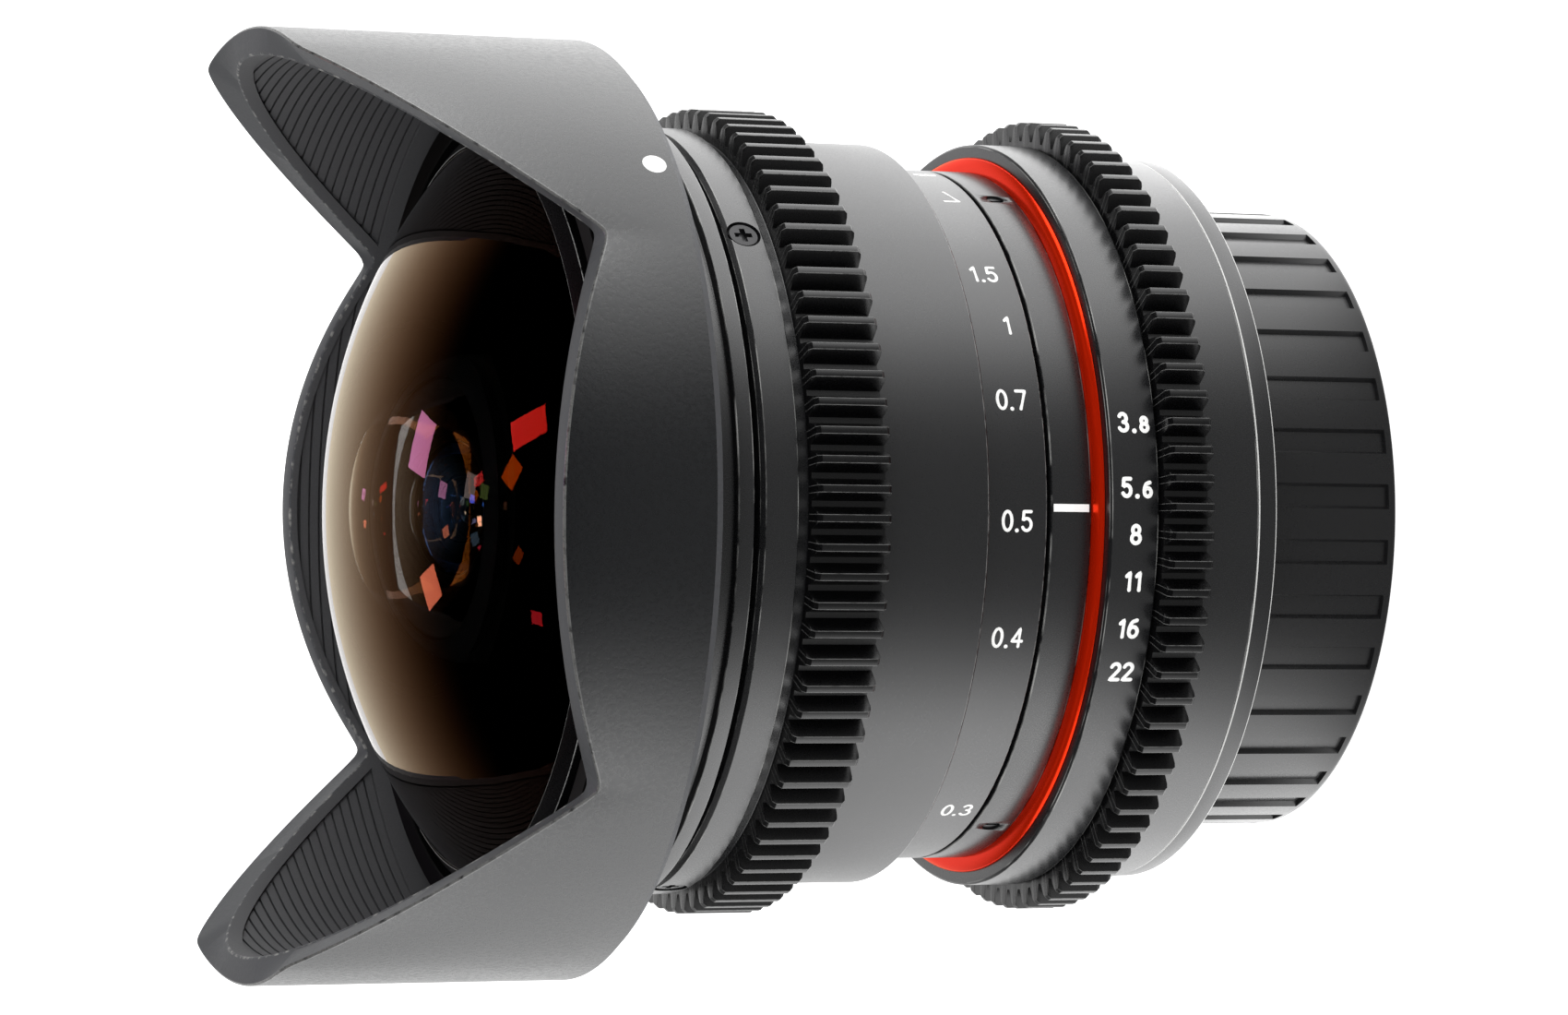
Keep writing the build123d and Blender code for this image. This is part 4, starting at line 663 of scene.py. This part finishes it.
# Black anodised aluminium, fine blasted: the grip reads softer than the turned rings
# Its flagged edges show grey patches: wear and a painted edge highlight
anodised_grip = black_finish("blasted_anodised_aluminium", ("#101112", "#1B1B1D"), 0.14, 0.1, (0.26, 0.38),
                             "#6A6A69", (0.35, 0.6), level=0.85)
# Black anodised aluminium, bead blasted: mottled dents about 0.45 mm across catch the light on the hood
anodised_hood = black_finish("bead_blasted_anodised_aluminium", ("#060709", "#121417"), 0.45, 0.4,
                             (0.22, 0.34), "#565655", (0.25, 0.5), level=0.7, depth=0.04)
# The same without its gloss on bevels and cut edges, which read greyer and show small light chips
hood_edge = black_finish("bead_blasted_cut_edge", ("#37383A", "#535457"), 0.3, 0.35, (0.45, 0.6), "#8A8986",
                         (0.5, 0.7), level=0.15, depth=0.03)
# Matt black paint inside the hood, lightened to a dark grey that paints the light filling the hollow: it
# scatters more than it mirrors
hood_inside_painted_light = black_finish("matt_black_paint_painted_light", ("#444446", "#545456"), 0.2, 0.1, (0.55, 0.7), "#6A6A69",
                           (0.45, 0.7), level=0.15)
# Moulded black ABS: dark, a little glossy, with a painted highlight in lighter grey along the rib edges
plastic_cap = black_finish("moulded_black_abs", ("#151516", "#1C1C1D"), 0.3, 0.05, (0.26, 0.34), "#505051",
                           (0.1, 0.5), level=0.6)

# Black anodised with the rear ring's edge breaks painted near white: a fine white line round the lens, a
# painted edge highlight together with bare cut metal
anodised_painted_edge_highlight = black_finish("black_anodised_aluminium_painted_edge_highlight", ("#101112", "#19191B"), 0.12, 0.05,
                              (0.24, 0.36), "#D8D8D6", (0.0, 0.05), level=0.85)
# Red anodised aluminium: saturated, with a broad orange highlight
anodised_red = plain_finish("red_anodised_aluminium", Base_Color=to_linear("#FF2E08"), Metallic=0.7,
                            Roughness=0.22, Specular_IOR_Level=1.0, Specular_Tint=to_linear("#FFB070"))
# Matt black lacquer on the ground rims and seats of the glass: no light comes back from it
lacquer = plain_finish("matt_black_lacquer", Base_Color=to_linear("#020202"), Roughness=0.8,
                       Specular_IOR_Level=0.0)
# Satin chrome on brass, as a camera mount is plated: bright, with soft reflections
chrome = plain_finish("satin_chrome_plate", Base_Color=to_linear("#D5D5D3"), Metallic=1.0, Roughness=0.24)
# Turned steel: plain grey metal
steel = plain_finish("turned_steel", Base_Color=to_linear("#B9B8B4"), Metallic=1.0, Roughness=0.3)
# Black oxide on steel: dark screws with a metal glint
oxide = plain_finish("black_oxide_steel", Base_Color=to_linear("#2E2E2F"), Metallic=0.6, Roughness=0.34)
# Blackened spring steel of the iris blades: dark, with a dull sheen
blade_black = plain_finish("blackened_spring_steel", Base_Color=to_linear("#19191B"), Metallic=0.4,
                           Roughness=0.4)
# Turned brass of the helicoid nut: bright yellow metal
brass = plain_finish("turned_brass", Base_Color=to_linear("#C9A14E"), Metallic=1.0, Roughness=0.28)
# White enamel in the engraved marks: clean and hardly glossy
enamel = plain_finish("white_enamel", Base_Color=to_linear("#FAFAF8"), Roughness=0.5)
# Flat black anodising of the parts between the elements: made to swallow light
cell_black = plain_finish("flat_black_anodised_aluminium", Base_Color=to_linear("#080808"), Roughness=0.6,
                          Specular_IOR_Level=0.1)


def coated_glass(name, tint, level):
    """Optical glass with a thin coating: a clear body and a weak, tinted reflection."""
    return plain_finish(name, Base_Color=[1.0, 1.0, 1.0, 1.0], Roughness=0.0, IOR=1.6,
                        Transmission_Weight=1.0, Specular_IOR_Level=level, Specular_Tint=to_linear(tint))


# Multicoated optical glass: each element's coating has its own weak colour
dome_glass = coated_glass("coated_front_glass", "#E47C24", 1.0)
element_glass = [coated_glass("coated_glass_" + str(number), tint, 0.05)
                 for number, tint in ((2, "#C89068"), (3, "#6AA0FF"), (4, "#FF8A4A"), (5, "#7AF0B0"))]
plain_glass = coated_glass("coated_glass_rear", "#B090FF", 0.15)

# Turned and cut pieces; outlines are (radius, height) in millimetres
place(cap_surface(), "rear_cap", "cap_plastic", plastic_cap, "rear_cap")
place(turned("rear_ring_turned", [(26.0, 15.4), (32.02, 15.4), (32.02, 14.6), (34.2, 14.6), (34.2, 16.4),
                                  (26.0, 16.4)]), "root", "black_anodised", anodised_painted_edge_highlight, "rear_ring")
place(geared("aperture_ring_geared",
             [(31.9, 16.5), (34.3, 16.5), (34.3, 22.05), (36.85, 22.05), (gear_tip, 22.4), (gear_tip, 25.95),
              (36.85, 26.3), (34.1, 26.3), (34.1, 26.6), (stops_radius, 26.6), (stops_radius, 31.1),
              (34.7, 31.3), (32.9, 31.3), (32.9, 30.3), (31.9, 30.3)], aperture_tooth_angle, 22.05, 26.3),
      "aperture_ring", "black_anodised", anodised_black, "aperture_ring", more=(black_painted_shade,))
place(turned("name_ring_turned", [(bore_radius, 32.02), (band_radius, 32.02), (band_radius, 35.9),
                                  (bore_radius, 35.9)]), "root", "black_anodised", anodised_black, "name_ring")
place(turned("focus_ring_turned",
             [(29.65, 36.3), (band_radius, 36.3), (band_radius, 42.7), (34.3, 42.7), (34.5, 42.9),
              (34.5, 53.03), (33.4, 53.03), (33.4, 64.18), (31.5, 64.18), (31.5, 42.4), (29.65, 42.4)]),
      "focus_ring", "grip_anodised", anodised_grip, "focus_ring")
place(geared("focus_gear_cut",
             [(33.42, 53.05), (36.85, 53.05), (gear_tip, 53.4), (gear_tip, 59.6), (36.85, 59.95),
              (34.6, 59.95), (34.6, 61.1), (35.35, 61.1), (35.35, 64.15), (34.95, 64.55), (31.5, 64.55),
              (31.5, 64.2), (33.42, 64.2)], focus_tooth_angle, 53.05, 59.95),
      "focus_ring", "black_anodised", anodised_black, "focus_gear", more=(black_painted_shade,))
# The red ring's front is a quarter ellipse that rises from the name ring before the aperture ring's face
bead_rise, bead_length, bead_back = 1.4, 0.66, 31.34
bead = [(band_radius + bead_rise * math.sin(turn), bead_back + bead_length * math.cos(turn), 0)
        for turn in np.linspace(0, math.pi / 2, 14)]
place(turned("red_bead", [(bore_radius, 32.0)] + bead + [(32.8, bead_back), (32.8, 30.5), (bore_radius, 30.5)]),
      "root", "red_anodised", anodised_red, "red_ring")


def entry_slots(radius, height, angle):
    """The mount ring's front land is cut down to the groove where the hood's lugs enter."""
    slot = np.any([beside(angle, -13 + 120 * turn, 38) for turn in range(3)], axis=0)
    groove = bayonet_groove * MM
    return np.where(slot & (height > 73.5 * MM) & (radius > groove), groove, radius)


place(turned("mount_ring_turned",
             [(31.0, 65.45), (35.98, 65.45), (35.98, 66.95), (34.98, 66.95), (34.98, 71.85),
              (bayonet_groove, 71.85), (bayonet_groove, 73.55), (34.98, 73.55), (34.98, 75.15), (31.0, 75.15)],
             entry_slots), "lens_cell", "black_anodised", anodised_black, "hood_mount_ring")
place(hood_surface(), "hood", "hood_black", anodised_hood, "hood", more=(hood_edge, hood_inside_painted_light, cell_black))

# The bezel's lip follows the dome a little above the glass
dome_centre = span("lens_1")[1] - dome_radius
lip_clear, lip_radius = 0.04, 33.3
under_lip = [(radius, dome_centre + math.sqrt((dome_radius + lip_clear) ** 2 - radius ** 2), 0)
             for radius in (33.55, 33.42, lip_radius)]
lip_front = span("front_bezel")[1]
bezel = under_lip + [(lip_radius, lip_front, 0.04), (34.6, lip_front - 1.0, 0.1), (34.6, 75.17), (29.5, 75.17),
                     (29.5, 77.05), (33.55, 77.05)]
# The bezel takes the black darkened as painted shade
place(turned("bezel_turned", bezel), "lens_cell", "black_anodised", black_painted_shade, "front_bezel")

# Curvature and clear radius of the front face, of the back face, and the rim's radius
elements = {"lens_1": (dome_radius, dome_edge, 17.5, 16.6, dome_edge), "lens_2": (60.0, 14.2, 12.5, 10.8, 15.0),
            "lens_3": (-80.0, 9.4, 14.0, 8.6, 10.2), "lens_4": (22.0, 8.2, -16.0, 9.0, 9.0),
            "lens_5": (-16.0, 9.0, 60.0, 8.0, 9.0)}
for number, (name, sizes) in enumerate(elements.items()):
    finish = dome_glass if number == 0 else element_glass[number - 1]
    place(element(name, *sizes), "lens_cell", "front_glass" if number == 0 else "glass", finish, name,
          more=(lacquer,))

# The marks, white enamel: text, degrees above the index side, middle height
distances = [("0.5", -0.8, 39.2), ("0.4", -19.6, 39.2), ("0.3", -56.3, 38.6), ("0.7", 18.6, 39.2),
             ("1", 31.8, 38.3), ("1.5", 42.2, 39.2), (("corner",), 64.1, 38.5), (("infinity",), 77.6, 38.1)]
place(written("distance_marks", distances, band_radius, 1.68, 0.145, 0.07), "focus_ring", "grip_anodised",
      enamel)
stop_row = 28.8
stops = [("3.8", 14.0), ("5.6", 4.35), ("8", -2.5), ("11", -9.4), ("16", -16.5), ("22", -23.3)]
place(written("stop_marks", [(key, turn, stop_row) for key, turn in stops], stops_radius, 1.55, 0.18, 0.2,
              0.8), "aperture_ring", "black_anodised", enamel)
index_half, line_half, side_steps = 1.75, 0.35, 12
side = np.linspace(-1, 1, side_steps)
index_outline = np.vstack([np.stack([index_half * side, np.full(side_steps, -line_half)], axis=-1),
                           np.stack([index_half * side[::-1], np.full(side_steps, line_half)], axis=-1)])
place(patch("index_mark", index_outline, band_radius, 1.35, 33.95), "root", "black_anodised", enamel)
turn = circle(32)
place(patch("hood_dot", 1.1 * np.stack([np.cos(turn), np.sin(turn)], axis=-1), hood_radius, 44.3, 73.2),
      "hood", "hood_black", enamel)

# Countersinks of the flange's cross-head screws and holes of the name ring's grub screws
drilled(bpy.data.objects["focus_gear_cut"], (-46, 74, 194), 62.825, 1.55, 34.4, 36.4)
drilled(bpy.data.objects["name_ring_turned"], (-26, -152, 90), 34.0, 0.82, 31.0, 33.0)

# Pieces kept as their CAD nodes
between_glass = ("lens_cell", "lens_2_retainer", "front_spacer", "doublet_retainer", "iris_housing",
                 "rear_cell")
finishes = {"black_anodised": anodised_black, "grip_anodised": anodised_grip, "hood_black": anodised_hood,
            "red_anodised": anodised_red, "mount_metal": chrome, "steel": steel, "black_steel": oxide,
            "blade_steel": blade_black, "brass": brass, "cap_plastic": plastic_cap, "front_glass": dome_glass,
            "glass": plain_glass}
for entry in frame["record"]["subparts"]:
    node = nodes[entry["node"]]
    node.data.materials.clear()
    dark = entry["node"] in between_glass
    node.data.materials.append(cell_black if dark else finishes[entry["material_slot"]])


# Camera
forward = Vector((0, math.cos(camera_tilt), -math.sin(camera_tilt)))
level_right = Vector((0, -math.sin(camera_tilt), -math.cos(camera_tilt)))
level_up = Vector((1, 0, 0))
right = math.cos(camera_roll) * level_right + math.sin(camera_roll) * level_up
up = -math.sin(camera_roll) * level_right + math.cos(camera_roll) * level_up
camera_data = bpy.data.cameras.new("camera")
camera_data.sensor_width = sensor_width
camera_data.lens = focal_pixels * sensor_width / picture_width
camera_data.clip_start = nearest_seen
camera = bpy.data.objects.new("camera", camera_data)
bpy.context.scene.collection.objects.link(camera)
matrix = Matrix((right, up, -forward)).transposed().to_4x4()
matrix.translation = aim - forward * camera_reach
camera.matrix_world = matrix
bpy.context.scene.camera = camera


def softbox(name, place_at, width, height, radiance):
    """A rectangular light that faces the lens; its power follows from its radiance and area."""
    lamp = bpy.data.lights.new(name, "AREA")
    lamp.shape = "RECTANGLE"
    lamp.size, lamp.size_y = width, height
    lamp.energy = radiance * math.pi * width * height
    made = bpy.data.objects.new(name, lamp)
    bpy.context.scene.collection.objects.link(made)
    turned_to = (lamp_target - place_at).to_track_quat("-Z", "Y").to_matrix().to_4x4()
    made.matrix_world = Matrix.Translation(place_at) @ turned_to
    made.visible_camera = False
    return made


lights = [softbox(name, Vector(place_at), side, side, radiance) for name, place_at, side, radiance in boxes]
# The box in front only fills the shadows: metal and glass don't mirror it
lights[-1].visible_glossy = lights[-1].visible_transmission = False
# A sight line meets the dome's sphere where |lead + t sight| = its radius, and leaves mirrored in its normal
dome_middle = Vector((0, 0, dome_centre * MM))
for number, (point, width, height, radiance, colour) in enumerate(glints):
    sight = (focal_pixels * forward + (point[0] - picture_width / 2) * right
             + (picture_height / 2 - point[1]) * up).normalized()
    lead = camera.matrix_world.translation - dome_middle
    halfway = sight.dot(lead)
    touch = lead + sight * (-halfway - math.sqrt(halfway ** 2 - lead.length_squared
                                                 + (dome_radius * MM) ** 2))
    normal = touch.normalized()
    lamp = softbox("glint_" + str(number), dome_middle + touch + sight - 2 * sight.dot(normal) * normal,
                   height * glint_size, width * glint_size, radiance)
    lamp.data.color = to_linear(colour)[:3]
    lamp.visible_diffuse = False
    lights.append(lamp)

# Floor: pale paper, seen as white but still darkened by the object's shadow
floor_mesh = bpy.data.meshes.new("floor")
floor_mesh.from_pydata([(-floor_half, -floor_half, 0), (floor_half, -floor_half, 0),
                        (floor_half, floor_half, 0), (-floor_half, floor_half, 0)], [], [(0, 1, 2, 3)])
floor = bpy.data.objects.new("floor", floor_mesh)
bpy.context.scene.collection.objects.link(floor)
paper, tree, shader = material("white_paper")
setting(shader, Roughness=0.9, Specular_IOR_Level=0.0)
path = add(tree, "ShaderNodeLightPath")
own = add(tree, "ShaderNodeMix", {0: path.outputs["Is Glossy Ray"], 6: to_linear("#F2F2F2"), 7: (0, 0, 0, 1)},
          data_type="RGBA").outputs[2]
tree.links.new(own, shader.inputs["Base Color"])
seen = add(tree, "ShaderNodeMath", {0: path.outputs["Is Camera Ray"], 1: path.outputs["Is Transmission Ray"]},
           operation="MAXIMUM").outputs[0]
plain = add(tree, "ShaderNodeMath", {0: seen, 1: floor_plain}, operation="MULTIPLY").outputs[0]
spot = add(tree, "ShaderNodeTexCoord").outputs["Object"]
flat = add(tree, "ShaderNodeVectorMath", {0: spot, 1: (1.0, 1.0, 0.0)}, operation="MULTIPLY").outputs[0]
way = add(tree, "ShaderNodeVectorMath", {0: flat}, operation="NORMALIZE").outputs[0]
way = add(tree, "ShaderNodeSeparateXYZ", {0: way})
bright = add(tree, "ShaderNodeMapRange", {"Value": way.outputs["Y"], "From Min": floor_ramp[0],
                                          "From Max": floor_ramp[1], "To Min": floor_front,
                                          "To Max": floor_back},
             interpolation_type="SMOOTHSTEP").outputs["Result"]
share = add(tree, "ShaderNodeMapRange", {"Value": way.outputs["Y"], "From Min": above_ramp[0],
                                         "From Max": above_ramp[1], "To Max": above_gain}).outputs["Result"]
gain = add(tree, "ShaderNodeMath", {0: way.outputs["X"], 1: share, 2: 1.0}, operation="MULTIPLY_ADD").outputs[0]
bright = add(tree, "ShaderNodeMath", {0: bright, 1: gain}, operation="MULTIPLY").outputs[0]
kept = add(tree, "ShaderNodeMapRange", {"Value": way.outputs["Y"], "From Min": loss_ramp[0],
                                        "From Max": loss_ramp[1], "To Min": 1.0,
                                        "To Max": 1 - floor_loss}).outputs["Result"]
bright = add(tree, "ShaderNodeMath", {0: bright, 1: kept}, operation="MULTIPLY").outputs[0]
strength = add(tree, "ShaderNodeMath", {0: path.outputs["Is Glossy Ray"], 1: bright, 2: plain},
               operation="MULTIPLY_ADD").outputs[0]
tree.links.new(strength, shader.inputs["Emission Strength"])
setting(shader, Emission_Color=[1.0, 1.0, 1.0, 1.0])
floor.data.materials.append(paper)

# World: white where the camera sees it, plain light on every colour, and the ramped sky in reflections
world = bpy.data.worlds.new("studio")
bpy.context.scene.world = world
world.use_nodes = True
tree = world.node_tree
sky = next(node for node in tree.nodes if node.type == "BACKGROUND")
way = add(tree, "ShaderNodeSeparateXYZ", {0: add(tree, "ShaderNodeTexCoord").outputs["Generated"]})
path = add(tree, "ShaderNodeLightPath")
mirrored = add(tree, "ShaderNodeMath", {0: path.outputs["Is Glossy Ray"],
                                        1: path.outputs["Is Transmission Ray"]}, operation="MAXIMUM").outputs[0]
behind = add(tree, "ShaderNodeMapRange", {"Value": way.outputs["Y"], "From Min": sky_ramp[0],
                                          "From Max": sky_ramp[1]}).outputs["Result"]
falling = add(tree, "ShaderNodeMath", {0: behind, 1: 2.0}, operation="POWER").outputs[0]
tint = add(tree, "ShaderNodeMix", {0: falling, 6: to_linear(sky_amber), 7: to_linear(sky_cream)},
           data_type="RGBA").outputs[2]
colour = add(tree, "ShaderNodeMix", {0: path.outputs["Is Singular Ray"], 6: (1, 1, 1, 1), 7: tint},
             data_type="RGBA").outputs[2]
tree.links.new(colour, sky.inputs["Color"])
gain = add(tree, "ShaderNodeMath", {0: way.outputs["X"], 1: above_gain * sky_back, 2: sky_back},
           operation="MULTIPLY_ADD").outputs[0]
bright = add(tree, "ShaderNodeMath", {0: falling, 1: gain}, operation="MULTIPLY").outputs[0]
plain = add(tree, "ShaderNodeMapRange", {"Value": path.outputs["Is Camera Ray"],
                                         "To Min": sky_plain}).outputs["Result"]
through = add(tree, "ShaderNodeMapRange", {"Value": path.outputs["Is Transmission Ray"], "To Min": 1.0,
                                           "To Max": through_glass}).outputs["Result"]
bright = add(tree, "ShaderNodeMath", {0: bright, 1: through}, operation="MULTIPLY").outputs[0]
strength = add(tree, "ShaderNodeMix", {0: mirrored, 2: plain, 3: bright}, data_type="FLOAT").outputs[0]
tree.links.new(strength, sky.inputs["Strength"])

bpy.context.scene.view_settings.view_transform = "Standard"
